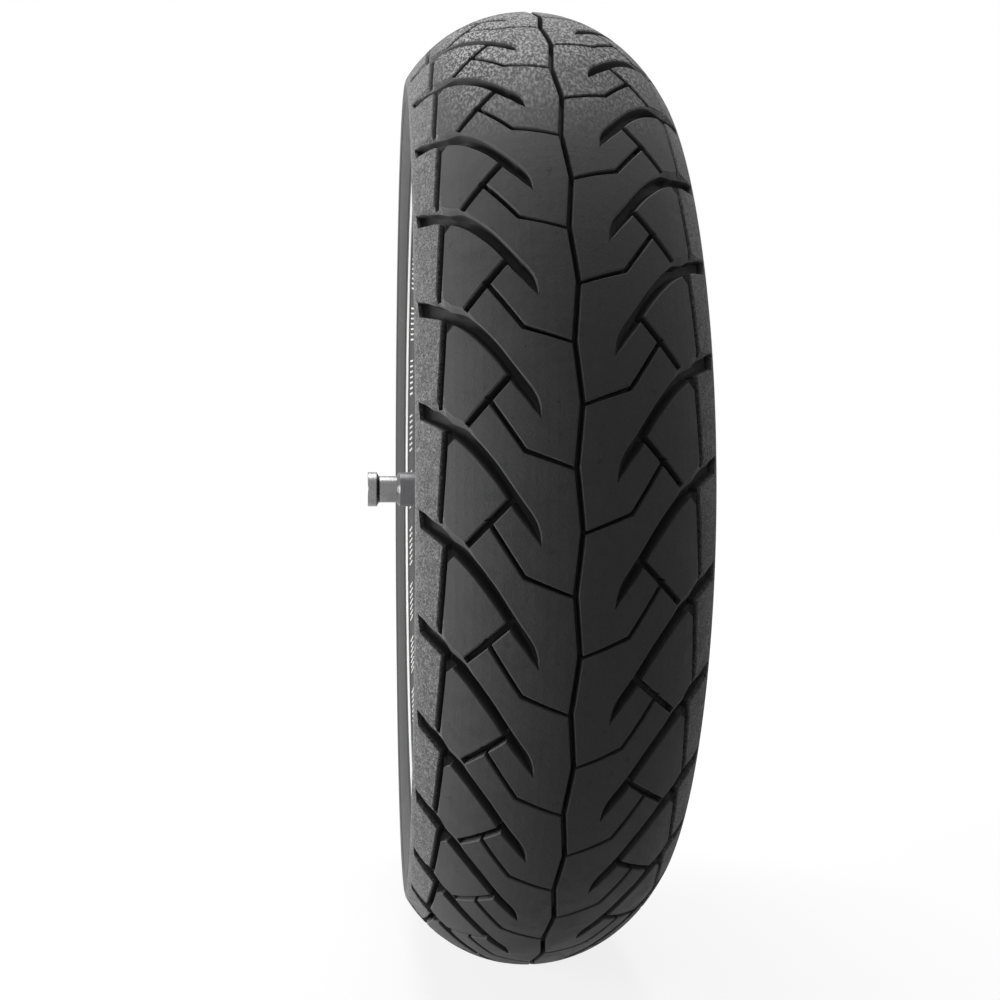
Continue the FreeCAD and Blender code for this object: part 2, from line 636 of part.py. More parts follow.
def round_head():
    """The round head on the left end, tapered towards the fork leg."""
    end = -AXLE_HALF_LENGTH
    neck = end + AXLE_HEAD
    return spin(rounded([
        (end, 0, 0),
        (end, AXLE_HEAD_RADIUS, AXLE_EDGE),
        (neck - AXLE_HEAD_CHAMFER, AXLE_HEAD_RADIUS, 0),
        (neck, AXLE_RADIUS, 0),
        (neck, 0, 0),
    ]))


def make_axle():
    neck = AXLE_HALF_LENGTH - AXLE_HEAD
    axle = ring(0, AXLE_RADIUS, -neck, neck).fuse(round_head()).removeSplitter()
    axle = axle.cut(socket(-AXLE_HALF_LENGTH, SOCKET_DEPTH))
    axle = axle.cut(ring(0, END_SCREW_RADIUS, neck - END_SCREW_LENGTH, neck))
    save(axle, "axle")
    thread = ring(0, END_SCREW_RADIUS, neck - END_SCREW_LENGTH + END_SCREW_SPARE, neck)
    screw = mirror(round_head()).fuse(thread).removeSplitter()
    save(screw.cut(socket(AXLE_HALF_LENGTH, -SOCKET_DEPTH)), "axle_end_screw")

    bore = AXLE_RADIUS + COLLAR_CLEARANCE
    collar = spin(rounded([
        (HUB_STACK_END, bore, 0),
        (COLLAR_FACE, bore, 0),
        (COLLAR_FACE, COLLAR_RADIUS - COLLAR_CHAMFER, 0),
        (COLLAR_FACE - COLLAR_CHAMFER, COLLAR_RADIUS, 0),
        (HUB_STACK_END, COLLAR_RADIUS, AXLE_EDGE),
    ]))
    save(collar, "collar_right")
    save(mirror(collar), "collar_left")
    save(ring(bore, bore + TUBE_WALL, -BEARING_POSITION, BEARING_POSITION), "distance_tube")


def make_dust_seals():
    """A rubber seal pressed in each end of the hub, its lip just clear of the collar."""
    outer = BEARING_OUTER / 2
    lip = COLLAR_RADIUS + SEAL_CLEARANCE
    start = HUB_STACK_END + SEAL_INSET
    end = start + SEAL_WIDTH
    flange = end - SEAL_RUBBER
    seal = spin(rounded([
        (start, outer, 0),
        (start, outer - SEAL_RUBBER, 0),
        (flange, outer - SEAL_RUBBER, SEAL_BEND),
        (flange, lip + SEAL_LIP + SEAL_BEND, SEAL_BEND),
        (start + SEAL_LIP, lip + SEAL_LIP, SEAL_BEND / 2),
        (start + SEAL_LIP, lip, 0),
        (end - SEAL_INSET, lip, 0),
        (end, lip + SEAL_BEND, 0),
        (end, outer, SEAL_BEND / 2),
    ]))
    save(seal, "dust_seal_right")
    save(mirror(seal), "dust_seal_left")


# ---------------------------------------------------------------- valve
VALVE_MOUTH = VALVE_FLOOR + VALVE_LENGTH
RUBBER_TOP = VALVE_MOUTH - VALVE_BARE
CORE_TOP = VALVE_MOUTH - CORE_INSET
CORE_BASE = CORE_TOP - CORE_LENGTH


def turned_upright(profile):
    """A valve piece: corners (radius, z, rounding) turned about the valve's own upright axis."""
    solid = spin(rounded([(z, radius, rounding) for radius, z, rounding in profile]))
    upright = FreeCAD.Rotation(FreeCAD.Vector(1, 0, 0), 90)
    solid.Placement = FreeCAD.Placement(CENTRE, upright).multiply(solid.Placement)
    return solid


def make_valve_body():
    """The rubber body, snapped into the rim with a wide foot inside and a smaller shoulder outside."""
    tyre_side = VALVE_FLOOR - VALVE_INSIDE
    rim_side = VALVE_FLOOR - RUBBER_CLEARANCE
    in_hole = VALVE_HOLE_RADIUS - RUBBER_CLEARANCE
    outside = VALVE_FLOOR + VALVE_WALL + RUBBER_CLEARANCE
    body = turned_upright([
        (VALVE_STEM_RADIUS, tyre_side, 0),
        (VALVE_FOOT_RADIUS, tyre_side, RUBBER_ROUND),
        (VALVE_FOOT_RADIUS, rim_side, RUBBER_ROUND / 2),
        (in_hole, rim_side, 0),
        (in_hole, outside, 0),
        (VALVE_SHOULDER_RADIUS, outside, RUBBER_ROUND / 2),
        (VALVE_SHOULDER_RADIUS, outside + RUBBER_ROUND * 2, RUBBER_ROUND),
        (VALVE_STEM_RADIUS + RUBBER_WALL, outside + VALVE_SHOULDER_RADIUS, RUBBER_ROUND * 2),
        (VALVE_STEM_RADIUS + RUBBER_WALL, RUBBER_TOP, RUBBER_ROUND / 2),
        (VALVE_STEM_RADIUS, RUBBER_TOP, 0),
    ])
    save(body, "valve_body")


def make_valve_stem():
    """The brass stem moulded into the body, bored for the core down to a narrow throat."""
    tyre_side = VALVE_FLOOR - VALVE_INSIDE
    throat = CORE_BASE - PIN_TRAVEL - VALVE_DISC
    stem = turned_upright([
        (VALVE_THROAT, tyre_side, 0),
        (VALVE_STEM_RADIUS, tyre_side, 0),
        (VALVE_STEM_RADIUS, VALVE_MOUTH, PIN_RADIUS),
        (CORE_RADIUS + CORE_CLEARANCE, VALVE_MOUTH, 0),
        (CORE_RADIUS + CORE_CLEARANCE, throat, 0),
        (VALVE_THROAT, throat - PIN_TRAVEL, 0),
    ])
    save(stem, "valve_stem")


def make_valve_core():
    """The hollow core, the pin that slides through both its ends and the spring that lifts the pin."""
    chamber = CORE_RADIUS - CORE_WALL
    guide = PIN_RADIUS + PIN_CLEARANCE
    roof = CORE_TOP - 2 * CORE_WALL
    floor = CORE_BASE + CORE_WALL
    core = turned_upright([
        (guide, CORE_BASE, 0), (CORE_RADIUS, CORE_BASE, 0), (CORE_RADIUS, CORE_TOP, 0), (guide, CORE_TOP, 0),
        (guide, roof, 0), (chamber, roof, 0), (chamber, floor, 0), (guide, floor, 0),
    ])
    save(core, "valve_core")

    lid = CORE_RADIUS - CORE_WALL / 2
    collar = chamber - PIN_CLEARANCE - SPRING_WIRE
    collar_low = floor + SPRING_LENGTH
    pin = turned_upright([
        (0, CORE_BASE - VALVE_DISC, 0),
        (lid, CORE_BASE - VALVE_DISC, 0),
        (lid, CORE_BASE - PIN_CLEARANCE, 0),
        (PIN_RADIUS, CORE_BASE - PIN_CLEARANCE, 0),
        (PIN_RADIUS, collar_low, 0),
        (collar, collar_low, 0),
        (collar, collar_low + CORE_WALL, 0),
        (PIN_RADIUS, collar_low + CORE_WALL, 0),
        (PIN_RADIUS, VALVE_MOUTH - PIN_RADIUS, 0),
        (0, VALVE_MOUTH - PIN_RADIUS, 0),
    ])
    save(pin, "valve_pin")

    low = floor + SPRING_WIRE + SPRING_CLEARANCE
    high = collar_low - SPRING_WIRE - SPRING_CLEARANCE
    coil_radius = chamber - SPRING_WIRE - PIN_CLEARANCE
    helix = Part.makeHelix((high - low) / SPRING_TURNS, high - low, coil_radius)
    corners = []
    for i in range(SPRING_SIDES + 1):
        turn = 2 * math.pi * i / SPRING_SIDES
        x = coil_radius + SPRING_WIRE * math.cos(turn)
        corners.append(FreeCAD.Vector(x, 0, SPRING_WIRE * math.sin(turn)))
    spring = Part.Wire(helix.Edges).makePipeShell([Part.makePolygon(corners)], True, True)
    spring.translate(FreeCAD.Vector(0, 0, low))
    save(spring, "valve_spring")


def make_valve_cap():
    bore = VALVE_STEM_RADIUS + VALVE_CAP_CLEARANCE
    low = RUBBER_TOP + VALVE_CAP_GAP
    high = VALVE_MOUTH + VALVE_CAP_TOP
    cap = turned_upright([
        (bore, low, 0),
        (bore + VALVE_CAP_WALL, low, VALVE_CAP_GAP),
        (bore + VALVE_CAP_WALL, high, VALVE_CAP_WALL),
        (0, high, 0),
        (0, high - 2 * VALVE_CAP_WALL, 0),
        (bore, high - 2 * VALVE_CAP_WALL, VALVE_CAP_GAP),
    ])
    save(cap, "valve_cap")


def main():
    os.makedirs("parts", exist_ok=True)
    make_tyre()
    make_casting()
    make_bearings()
    make_axle()
    make_dust_seals()
    make_valve_body()
    make_valve_stem()
    make_valve_core()
    make_valve_cap()


main()
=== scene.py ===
import math

import bmesh
import bpy
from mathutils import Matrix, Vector


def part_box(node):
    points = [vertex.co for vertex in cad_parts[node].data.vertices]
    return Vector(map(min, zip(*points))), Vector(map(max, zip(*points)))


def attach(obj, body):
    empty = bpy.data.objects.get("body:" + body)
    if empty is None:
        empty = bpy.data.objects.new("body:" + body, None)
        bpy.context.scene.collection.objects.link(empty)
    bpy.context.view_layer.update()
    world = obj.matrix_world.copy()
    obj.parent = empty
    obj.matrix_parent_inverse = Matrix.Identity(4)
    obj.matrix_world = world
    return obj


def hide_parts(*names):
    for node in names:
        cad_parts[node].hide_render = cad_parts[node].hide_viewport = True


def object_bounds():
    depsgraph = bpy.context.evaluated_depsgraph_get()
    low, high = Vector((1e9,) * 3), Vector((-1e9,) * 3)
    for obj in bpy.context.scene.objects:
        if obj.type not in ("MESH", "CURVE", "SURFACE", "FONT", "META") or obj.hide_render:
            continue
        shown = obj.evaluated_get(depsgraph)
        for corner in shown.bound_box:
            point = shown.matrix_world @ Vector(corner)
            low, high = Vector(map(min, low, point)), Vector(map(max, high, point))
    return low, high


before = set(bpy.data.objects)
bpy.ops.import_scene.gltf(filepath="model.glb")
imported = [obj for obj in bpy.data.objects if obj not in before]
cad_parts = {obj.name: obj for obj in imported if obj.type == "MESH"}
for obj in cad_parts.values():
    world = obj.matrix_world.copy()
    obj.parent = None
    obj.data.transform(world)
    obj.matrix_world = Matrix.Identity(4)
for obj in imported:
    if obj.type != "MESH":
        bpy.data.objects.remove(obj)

cad_low, cad_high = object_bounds()
bpy.ops.object.select_all(action="DESELECT")

# ---------------------------------------------------------------- axle
# A bar of bright drawn steel, turned between centres: a head, a bare neck for the fork leg, and a hex socket.
# Two turned collars and a tube of the same steel space the bearings, and a screw closes the far end.
AXLE_STEEL = (0.31, 0.31, 0.31)
AXLE_STEEL_DARK = (0.16, 0.16, 0.16)
# Painted shade: near black painted in the chamfer behind the axle's head, where shade falls.
CHAMFER_SHADE_BLACK = (0.02, 0.02, 0.02)
HEAD_CHAMFER = (-0.0626, -0.0611)
TUBE_STEEL = (0.20, 0.20, 0.205)
TUBE_STEEL_DARK = (0.11, 0.11, 0.113)
LATHE_FEED = 0.00022
AXLE_POLISH = 0.23
COLLAR_POLISH = 0.24
TUBE_POLISH = 0.42
RING_DEPTH = 0.03            # height of a lathe mark, as a share of the feed
RING_STRENGTH = 0.2


def add(tree, kind, values=None, **settings):
    """A node with its settings, and with each named or numbered input set or linked."""
    node = tree.nodes.new(kind)
    for key, value in settings.items():
        setattr(node, key, value)
    for key, value in (values or {}).items():
        if isinstance(value, bpy.types.NodeSocket):
            tree.links.new(value, node.inputs[key])
        else:
            node.inputs[key].default_value = value
    return node


def math_node(tree, operation, *values):
    return add(tree, "ShaderNodeMath", dict(enumerate(values)), operation=operation).outputs[0]


def spread(tree, value, low, high, new_low=0.0, new_high=1.0):
    """A value from one span to another, clamped."""
    span = {"Value": value, "From Min": low, "From Max": high, "To Min": new_low, "To Max": new_high}
    return add(tree, "ShaderNodeMapRange", span).outputs["Result"]


def blend_colours(tree, share, first, second):
    """A mix of two colours; either may be a socket."""
    values = {0: share, 6: first, 7: second}
    for key in (6, 7):
        if isinstance(values[key], tuple):
            values[key] = (*values[key], 1.0)
    return add(tree, "ShaderNodeMix", values, data_type="RGBA").outputs[2]


def new_group(name, inputs, outputs):
    """An empty shader group with float inputs, after a vector named Place, and float outputs."""
    group = bpy.data.node_groups.new(name, "ShaderNodeTree")
    group.interface.new_socket("Place", in_out="INPUT", socket_type="NodeSocketVector")
    for label, value in inputs.items():
        group.interface.new_socket(label, in_out="INPUT", socket_type="NodeSocketFloat").default_value = value
    for label in outputs:
        group.interface.new_socket(label, in_out="OUTPUT", socket_type="NodeSocketFloat")
    return group, group.nodes.new("NodeGroupInput"), group.nodes.new("NodeGroupOutput")


# Where a point lies on the wheel: its distance from the axle, its turn round it, and its distance along it.
wheel_place, given, result = new_group("wheel_place", {}, ("Radius", "Turn", "Along"))
parts = add(wheel_place, "ShaderNodeSeparateXYZ", {0: given.outputs["Place"]})
square_x = math_node(wheel_place, "POWER", parts.outputs["X"], 2.0)
square_z = math_node(wheel_place, "POWER", parts.outputs["Z"], 2.0)
radius_out = math_node(wheel_place, "SQRT", math_node(wheel_place, "ADD", square_x, square_z))
turn_out = math_node(wheel_place, "ARCTAN2", parts.outputs["Z"], parts.outputs["X"])
wheel_place.links.new(radius_out, result.inputs["Radius"])
wheel_place.links.new(turn_out, result.inputs["Turn"])
wheel_place.links.new(parts.outputs["Y"], result.inputs["Along"])

# Fine grain: small specks of a given size, and the height that goes with them.
grain, given, result = new_group("grain", {"Size": 0.0005, "Sharpness": 0.5}, ("Specks", "Height"))
scale = math_node(grain, "DIVIDE", 1.0, given.outputs["Size"])
noise_in = {"Vector": given.outputs["Place"], "Scale": scale, "Detail": 3.0, "Roughness": 0.6}
fine = add(grain, "ShaderNodeTexNoise", noise_in).outputs["Fac"]
low = math_node(grain, "MULTIPLY_ADD", given.outputs["Sharpness"], 0.2, 0.3)
high = math_node(grain, "SUBTRACT", 1.0, low)
grain.links.new(spread(grain, fine, low, high), result.inputs["Specks"])
grain.links.new(fine, result.inputs["Height"])

# Stains: wide, soft clouds of tone, warped so that they swirl as rubber and castings do.
stains, given, result = new_group("stains", {"Size": 0.02, "Swirl": 2.0}, ("Tone",))
scale = math_node(stains, "DIVIDE", 1.0, given.outputs["Size"])
noise_in = {"Vector": given.outputs["Place"], "Scale": scale, "Detail": 4.0,
            "Distortion": given.outputs["Swirl"]}
cloud = add(stains, "ShaderNodeTexNoise", noise_in).outputs["Fac"]
stains.links.new(spread(stains, cloud, 0.35, 0.65), result.inputs["Tone"])

# Lathe marks: fine rings round the axle, on a cylinder and on a face alike, uneven in depth and in tone.
lathe_marks, given, result = new_group("lathe_marks", {"Feed": LATHE_FEED}, ("Streaks", "Height"))
spot = add(lathe_marks, "ShaderNodeGroup", {}, node_tree=wheel_place)
lathe_marks.links.new(given.outputs["Place"], spot.inputs["Place"])
path = math_node(lathe_marks, "SUBTRACT", spot.outputs["Along"], spot.outputs["Radius"])
phase = math_node(lathe_marks, "DIVIDE", path, given.outputs["Feed"])
wave = math_node(lathe_marks, "SINE", math_node(lathe_marks, "MULTIPLY", phase, 2 * math.pi))
noise_in = {"W": phase, "Scale": 0.35, "Detail": 3.0}
uneven = add(lathe_marks, "ShaderNodeTexNoise", noise_in, noise_dimensions="1D").outputs["Fac"]
lathe_marks.links.new(uneven, result.inputs["Streaks"])
lathe_marks.links.new(math_node(lathe_marks, "MULTIPLY_ADD", wave, 0.3, uneven), result.inputs["Height"])


def start_finish(name):
    """A new material, its tree, its shader and the place of the shaded point."""
    finish = bpy.data.materials.new(name)
    finish.use_nodes = True
    tree = finish.node_tree
    place = add(tree, "ShaderNodeTexCoord").outputs["Object"]
    return finish, tree, tree.nodes["Principled BSDF"], place


def use_group(tree, group, place, **values):
    values = {key.capitalize(): value for key, value in values.items()}
    return add(tree, "ShaderNodeGroup", {"Place": place, **values}, node_tree=group)


def raise_bumps(tree, shader, height, distance, strength=1.0):
    """Feeds a height to the shader's normal, after any bump that is already there."""
    bump = add(tree, "ShaderNodeBump", {"Strength": strength, "Distance": distance, "Height": height})
    if shader.inputs["Normal"].is_linked:
        tree.links.new(shader.inputs["Normal"].links[0].from_socket, bump.inputs["Normal"])
    tree.links.new(bump.outputs["Normal"], shader.inputs["Normal"])


def turned_metal(name, bright, dark, feed, polish, stain_size=0.012, shaded_span=None):
    """Turned metal: rings of tone, clouds of handling stain, and roughness that follows both.

    The span along the axle that is passed in is painted near black: painted shade in the chamfer behind the
    head.
    """
    finish, tree, shader, place = start_finish(name)
    marks = use_group(tree, lathe_marks, place, feed=feed)
    cloud = use_group(tree, stains, place, size=stain_size, swirl=1.0).outputs["Tone"]
    dust = use_group(tree, grain, place, size=0.0009, sharpness=0.6)
    rings = spread(tree, marks.outputs["Streaks"], 0.2, 0.7, 0.65, 1.0)
    ringed = blend_colours(tree, rings, dark, bright)
    stained = blend_colours(tree, math_node(tree, "MULTIPLY", cloud, 0.35), ringed, dark)
    # Painted shade: the given span along the axle is painted near black.
    if shaded_span:
        along = use_group(tree, wheel_place, place).outputs["Along"]
        past_start = math_node(tree, "GREATER_THAN", along, shaded_span[0])
        before_end = math_node(tree, "LESS_THAN", along, shaded_span[1])
        on_span = math_node(tree, "MULTIPLY", past_start, before_end)
        stained = blend_colours(tree, on_span, stained, CHAMFER_SHADE_BLACK)
    tree.links.new(stained, shader.inputs["Base Color"])
    shader.inputs["Metallic"].default_value = 1.0
    roughness = math_node(tree, "MULTIPLY_ADD", cloud, 0.1, polish)
    roughness = math_node(tree, "MULTIPLY_ADD", dust.outputs["Specks"], 0.08, roughness)
    tree.links.new(roughness, shader.inputs["Roughness"])
    raise_bumps(tree, shader, marks.outputs["Height"], feed * RING_DEPTH, RING_STRENGTH)
    return finish


def dress(finish, *nodes):
    """Gives CAD nodes their finish."""
    for name in nodes:
        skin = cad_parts[name].data
        skin.materials.clear()
        skin.materials.append(finish)


axle_finish = turned_metal("axle_steel", AXLE_STEEL, AXLE_STEEL_DARK, LATHE_FEED, AXLE_POLISH,
                           shaded_span=HEAD_CHAMFER)
dress(axle_finish, "axle", "axle_end_screw")
collar_finish = turned_metal("collar_steel", TUBE_STEEL, TUBE_STEEL_DARK, LATHE_FEED * 1.6, COLLAR_POLISH)
dress(collar_finish, "collar_left", "collar_right")
tube_finish = turned_metal("tube_steel", TUBE_STEEL, TUBE_STEEL_DARK, LATHE_FEED * 3, TUBE_POLISH)
dress(tube_finish, "distance_tube")

# ---------------------------------------------------------------- bearings
# Two 6201 ball bearings carry the wheel: ground and hardened rings, polished balls in a moulded cage,
# and a pressed seal with a rubber face on each side. A dust seal of black rubber is pressed in outside each.
RING_STEEL = (0.62, 0.62, 0.63)
RING_STEEL_DARK = (0.45, 0.45, 0.47)
GRINDING = 0.00008
RING_POLISH = 0.16
BALL_POLISH = 0.07
CAGE_BROWN = (0.16, 0.10, 0.045)
CAGE_BROWN_DARK = (0.11, 0.065, 0.03)
SEAL_BLACK = (0.022, 0.022, 0.024)
SEAL_GREY = (0.045, 0.045, 0.048)


def moulded(name, dark, light, gloss, grain_size, grain_depth, stain_size=0.01):
    """Moulded plastic or rubber: a fine grain over soft clouds of tone."""
    finish, tree, shader, place = start_finish(name)
    cloud = use_group(tree, stains, place, size=stain_size, swirl=1.5).outputs["Tone"]
    specks = use_group(tree, grain, place, size=grain_size, sharpness=0.4)
    share = math_node(tree, "MULTIPLY", cloud, 0.6)
    share = math_node(tree, "MULTIPLY_ADD", specks.outputs["Specks"], 0.4, share)
    tree.links.new(blend_colours(tree, share, dark, light), shader.inputs["Base Color"])
    tree.links.new(math_node(tree, "MULTIPLY_ADD", cloud, 0.12, gloss), shader.inputs["Roughness"])
    raise_bumps(tree, shader, specks.outputs["Height"], grain_depth)
    return finish


ring_finish = turned_metal("bearing_steel", RING_STEEL, RING_STEEL_DARK, GRINDING, RING_POLISH, 0.006)
ball_finish, tree, shader, place = start_finish("ball_steel")
cloud = use_group(tree, stains, place, size=0.002, swirl=0.5).outputs["Tone"]
tree.links.new(blend_colours(tree, cloud, RING_STEEL_DARK, RING_STEEL), shader.inputs["Base Color"])
shader.inputs["Metallic"].default_value = 1.0
tree.links.new(math_node(tree, "MULTIPLY_ADD", cloud, 0.05, BALL_POLISH), shader.inputs["Roughness"])
cage_finish = moulded("cage_plastic", CAGE_BROWN_DARK, CAGE_BROWN, 0.38, 0.0003, 0.00001, 0.003)
seal_finish = moulded("seal_rubber", SEAL_BLACK, SEAL_GREY, 0.42, 0.00025, 0.00001, 0.004)
for side in ("_left", "_right"):
    dress(ring_finish, "bearing_outer_race" + side, "bearing_inner_race" + side)
    dress(ball_finish, "bearing_balls" + side)
    dress(cage_finish, "bearing_cage" + side)
    dress(seal_finish, "bearing_seals" + side, "dust_seal" + side)

# ---------------------------------------------------------------- wheel casting
# Rim, five spokes and hub are one gravity casting in aluminium, shot-blasted and painted silver.
# The bearing bores, hub ends, disc face and bead seats are turned bright after casting.
CAST_SILVER = (0.42, 0.42, 0.43)
CAST_GREY = (0.27, 0.27, 0.28)
BARE_ALLOY = (0.70, 0.70, 0.69)
# Where it is turned bright or worn: distances from the axle and from the middle plane, in metres.
HUB_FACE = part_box("wheel_casting")[1].y - 0.0005
HUB_BORE_EDGE = 0.0166
HUB_END_EDGE = 0.0225
DISC_FACE = -0.0359
DISC_FACE_EDGE = 0.0365
BEAD_SEAT_EDGE = 0.1248
BEAD_SEAT_SIDE = 0.0319
RIM_LIP = (0.1385, 0.1404)
casting, tree, shader, place = start_finish("cast_alloy")
spot = use_group(tree, wheel_place, place)
cloud = use_group(tree, stains, place, size=0.035, swirl=1.2).outputs["Tone"]
blasted = use_group(tree, grain, place, size=0.0011, sharpness=0.5)
feed = use_group(tree, lathe_marks, place, feed=0.00045)
from_middle = math_node(tree, "ABSOLUTE", spot.outputs["Along"])
hub_bore = math_node(tree, "LESS_THAN", spot.outputs["Radius"], HUB_BORE_EDGE)
hub_end = math_node(tree, "MULTIPLY",
                    math_node(tree, "GREATER_THAN", from_middle, HUB_FACE),
                    math_node(tree, "LESS_THAN", spot.outputs["Radius"], HUB_END_EDGE))
disc_face = math_node(tree, "MULTIPLY",
                      math_node(tree, "LESS_THAN", spot.outputs["Along"], DISC_FACE),
                      math_node(tree, "LESS_THAN", spot.outputs["Radius"], DISC_FACE_EDGE))
bead_seat = math_node(tree, "MULTIPLY",
                      math_node(tree, "GREATER_THAN", spot.outputs["Radius"], BEAD_SEAT_EDGE),
                      math_node(tree, "LESS_THAN", from_middle, BEAD_SEAT_SIDE))
turned = math_node(tree, "MAXIMUM", math_node(tree, "MAXIMUM", hub_bore, hub_end),
                   math_node(tree, "MAXIMUM", disc_face, bead_seat))
lip_wear = math_node(tree, "MULTIPLY", spread(tree, spot.outputs["Radius"], *RIM_LIP),
                     spread(tree, blasted.outputs["Height"], 0.42, 0.58))
painted = blend_colours(tree, math_node(tree, "MULTIPLY_ADD", blasted.outputs["Specks"], 0.35,
                                        math_node(tree, "MULTIPLY", cloud, 0.65)), CAST_GREY, CAST_SILVER)
bare = blend_colours(tree, spread(tree, feed.outputs["Streaks"], 0.3, 0.7), CAST_SILVER, BARE_ALLOY)
shows_bare = math_node(tree, "MAXIMUM", turned, math_node(tree, "MULTIPLY", lip_wear, 0.5))
tree.links.new(blend_colours(tree, shows_bare, painted, bare), shader.inputs["Base Color"])
tree.links.new(math_node(tree, "MULTIPLY_ADD", shows_bare, 0.55, 0.45), shader.inputs["Metallic"])
painted_roughness = math_node(tree, "MULTIPLY_ADD", cloud, 0.12, 0.40)
roughness = math_node(tree, "MULTIPLY_ADD", shows_bare, -0.16, painted_roughness)
tree.links.new(roughness, shader.inputs["Roughness"])
cast_height = math_node(tree, "MULTIPLY", blasted.outputs["Height"], math_node(tree, "SUBTRACT", 1.0, turned))
raise_bumps(tree, shader, cast_height, 0.00022, 0.7)
raise_bumps(tree, shader, math_node(tree, "MULTIPLY", feed.outputs["Height"], turned), 0.00004, 0.6)
dress(casting, "wheel_casting")

# ---------------------------------------------------------------- valve
# A snap-in tubeless valve: a brass stem moulded into a rubber body, a screwed-in core with its pin and
# spring, and a plastic cap with a knurled side.
# Known fault: the finishes of valve_body (rubber) and valve_stem (brass) are on each other's piece.
BRASS = (0.60, 0.42, 0.17)
BRASS_DARK = (0.38, 0.25, 0.10)
THREAD_PITCH = 0.0008
PIN_THREAD = 0.0003
SPRING_MARKS = 0.0002
KNURLS = 24.0
CAP_DARK = (0.012, 0.012, 0.013)
CAP_LIGHT = (0.03, 0.03, 0.032)


def threaded_metal(name, bright, dark, polish, thread=THREAD_PITCH):
    """Metal with a fine thread cut round the valve's upright axis."""
    finish, tree, shader, place = start_finish(name)
    parts = add(tree, "ShaderNodeSeparateXYZ", {0: place})
    turn = math_node(tree, "ARCTAN2", parts.outputs["Y"], parts.outputs["X"])
    climb = math_node(tree, "DIVIDE", parts.outputs["Z"], thread)
    phase = math_node(tree, "MULTIPLY_ADD", climb, 2 * math.pi, turn)
    wave = math_node(tree, "SINE", phase)
    cloud = use_group(tree, stains, place, size=0.004, swirl=1.0).outputs["Tone"]
    tree.links.new(blend_colours(tree, cloud, dark, bright), shader.inputs["Base Color"])
    shader.inputs["Metallic"].default_value = 1.0
    tree.links.new(math_node(tree, "MULTIPLY_ADD", cloud, 0.12, polish), shader.inputs["Roughness"])
    raise_bumps(tree, shader, wave, thread * 0.12)
    return finish


dress(threaded_metal("valve_brass", BRASS, BRASS_DARK, 0.26), "valve_body", "valve_core")
dress(threaded_metal("valve_pin_brass", BRASS, BRASS_DARK, 0.18, PIN_THREAD), "valve_pin")
dress(threaded_metal("spring_steel", RING_STEEL, RING_STEEL_DARK, 0.22, SPRING_MARKS), "valve_spring")
dress(moulded("valve_rubber", SEAL_BLACK, SEAL_GREY, 0.55, 0.0004, 0.00004, 0.006), "valve_stem")
cap_finish, tree, shader, place = start_finish("cap_plastic")
parts = add(tree, "ShaderNodeSeparateXYZ", {0: place})
turn = math_node(tree, "ARCTAN2", parts.outputs["Y"], parts.outputs["X"])
knurl = math_node(tree, "SINE", math_node(tree, "MULTIPLY", turn, KNURLS))
specks = use_group(tree, grain, place, size=0.0003, sharpness=0.4)
tree.links.new(blend_colours(tree, specks.outputs["Specks"], CAP_DARK, CAP_LIGHT), shader.inputs["Base Color"])
roughness = math_node(tree, "MULTIPLY_ADD", specks.outputs["Specks"], 0.1, 0.38)
tree.links.new(roughness, shader.inputs["Roughness"])
raise_bumps(tree, shader, knurl, 0.00025)
raise_bumps(tree, shader, specks.outputs["Height"], 0.00002)
dress(cap_finish, "valve_cap")

# ---------------------------------------------------------------- carcass
# The air side is a thin butyl liner; over it two rayon plies and a breaker, each a sheet of parallel cords in
# rubber, cross at opposite angles. The outer ply turns up round a bead of wire and its hard rubber filler.
PLY_RUBBER = (0.030, 0.028, 0.026)
PLY_CORD = (0.085, 0.070, 0.050)
CORD_SPACING = 0.0012
CORD_LEAN = 38.0
BEAD_WIRE_SIZE = 0.0011
WIRE_COPPER = (0.45, 0.33, 0.20)
WIRE_RUBBER = (0.10, 0.07, 0.04)
LINER_DARK = (0.020, 0.020, 0.021)
LINER_LIGHT = (0.042, 0.042, 0.043)
BEAD_DARK = (0.024, 0.024, 0.025)
BEAD_LIGHT = (0.052, 0.051, 0.050)


def cord_ply(name, lean):
    """Rubber with parallel cords that cross the tyre at the given lean, in degrees."""
    finish, tree, shader, place = start_finish(name)
    spot = use_group(tree, wheel_place, place)
    round_tyre = math_node(tree, "MULTIPLY", spot.outputs["Turn"], TYRE_RADIUS * math.cos(math.radians(lean)))
    over = math_node(tree, "MULTIPLY", spot.outputs["Along"], math.sin(math.radians(lean)))
    phase = math_node(tree, "DIVIDE", math_node(tree, "ADD", round_tyre, over), CORD_SPACING)
    cord = math_node(tree, "ABSOLUTE", math_node(tree, "SINE", math_node(tree, "MULTIPLY", phase, math.pi)))
    specks = use_group(tree, grain, place, size=0.0004, sharpness=0.5)
    cloud = use_group(tree, stains, place, size=0.03, swirl=1.0).outputs["Tone"]
    share = math_node(tree, "MULTIPLY_ADD", specks.outputs["Specks"], 0.4, 0.6)
    share = math_node(tree, "MULTIPLY", share, cord)
    tree.links.new(blend_colours(tree, share, PLY_RUBBER, PLY_CORD), shader.inputs["Base Color"])
    tree.links.new(math_node(tree, "MULTIPLY_ADD", cloud, 0.15, 0.62), shader.inputs["Roughness"])
    raise_bumps(tree, shader, cord, 0.00025)
    raise_bumps(tree, shader, specks.outputs["Height"], 0.00005)
    return finish


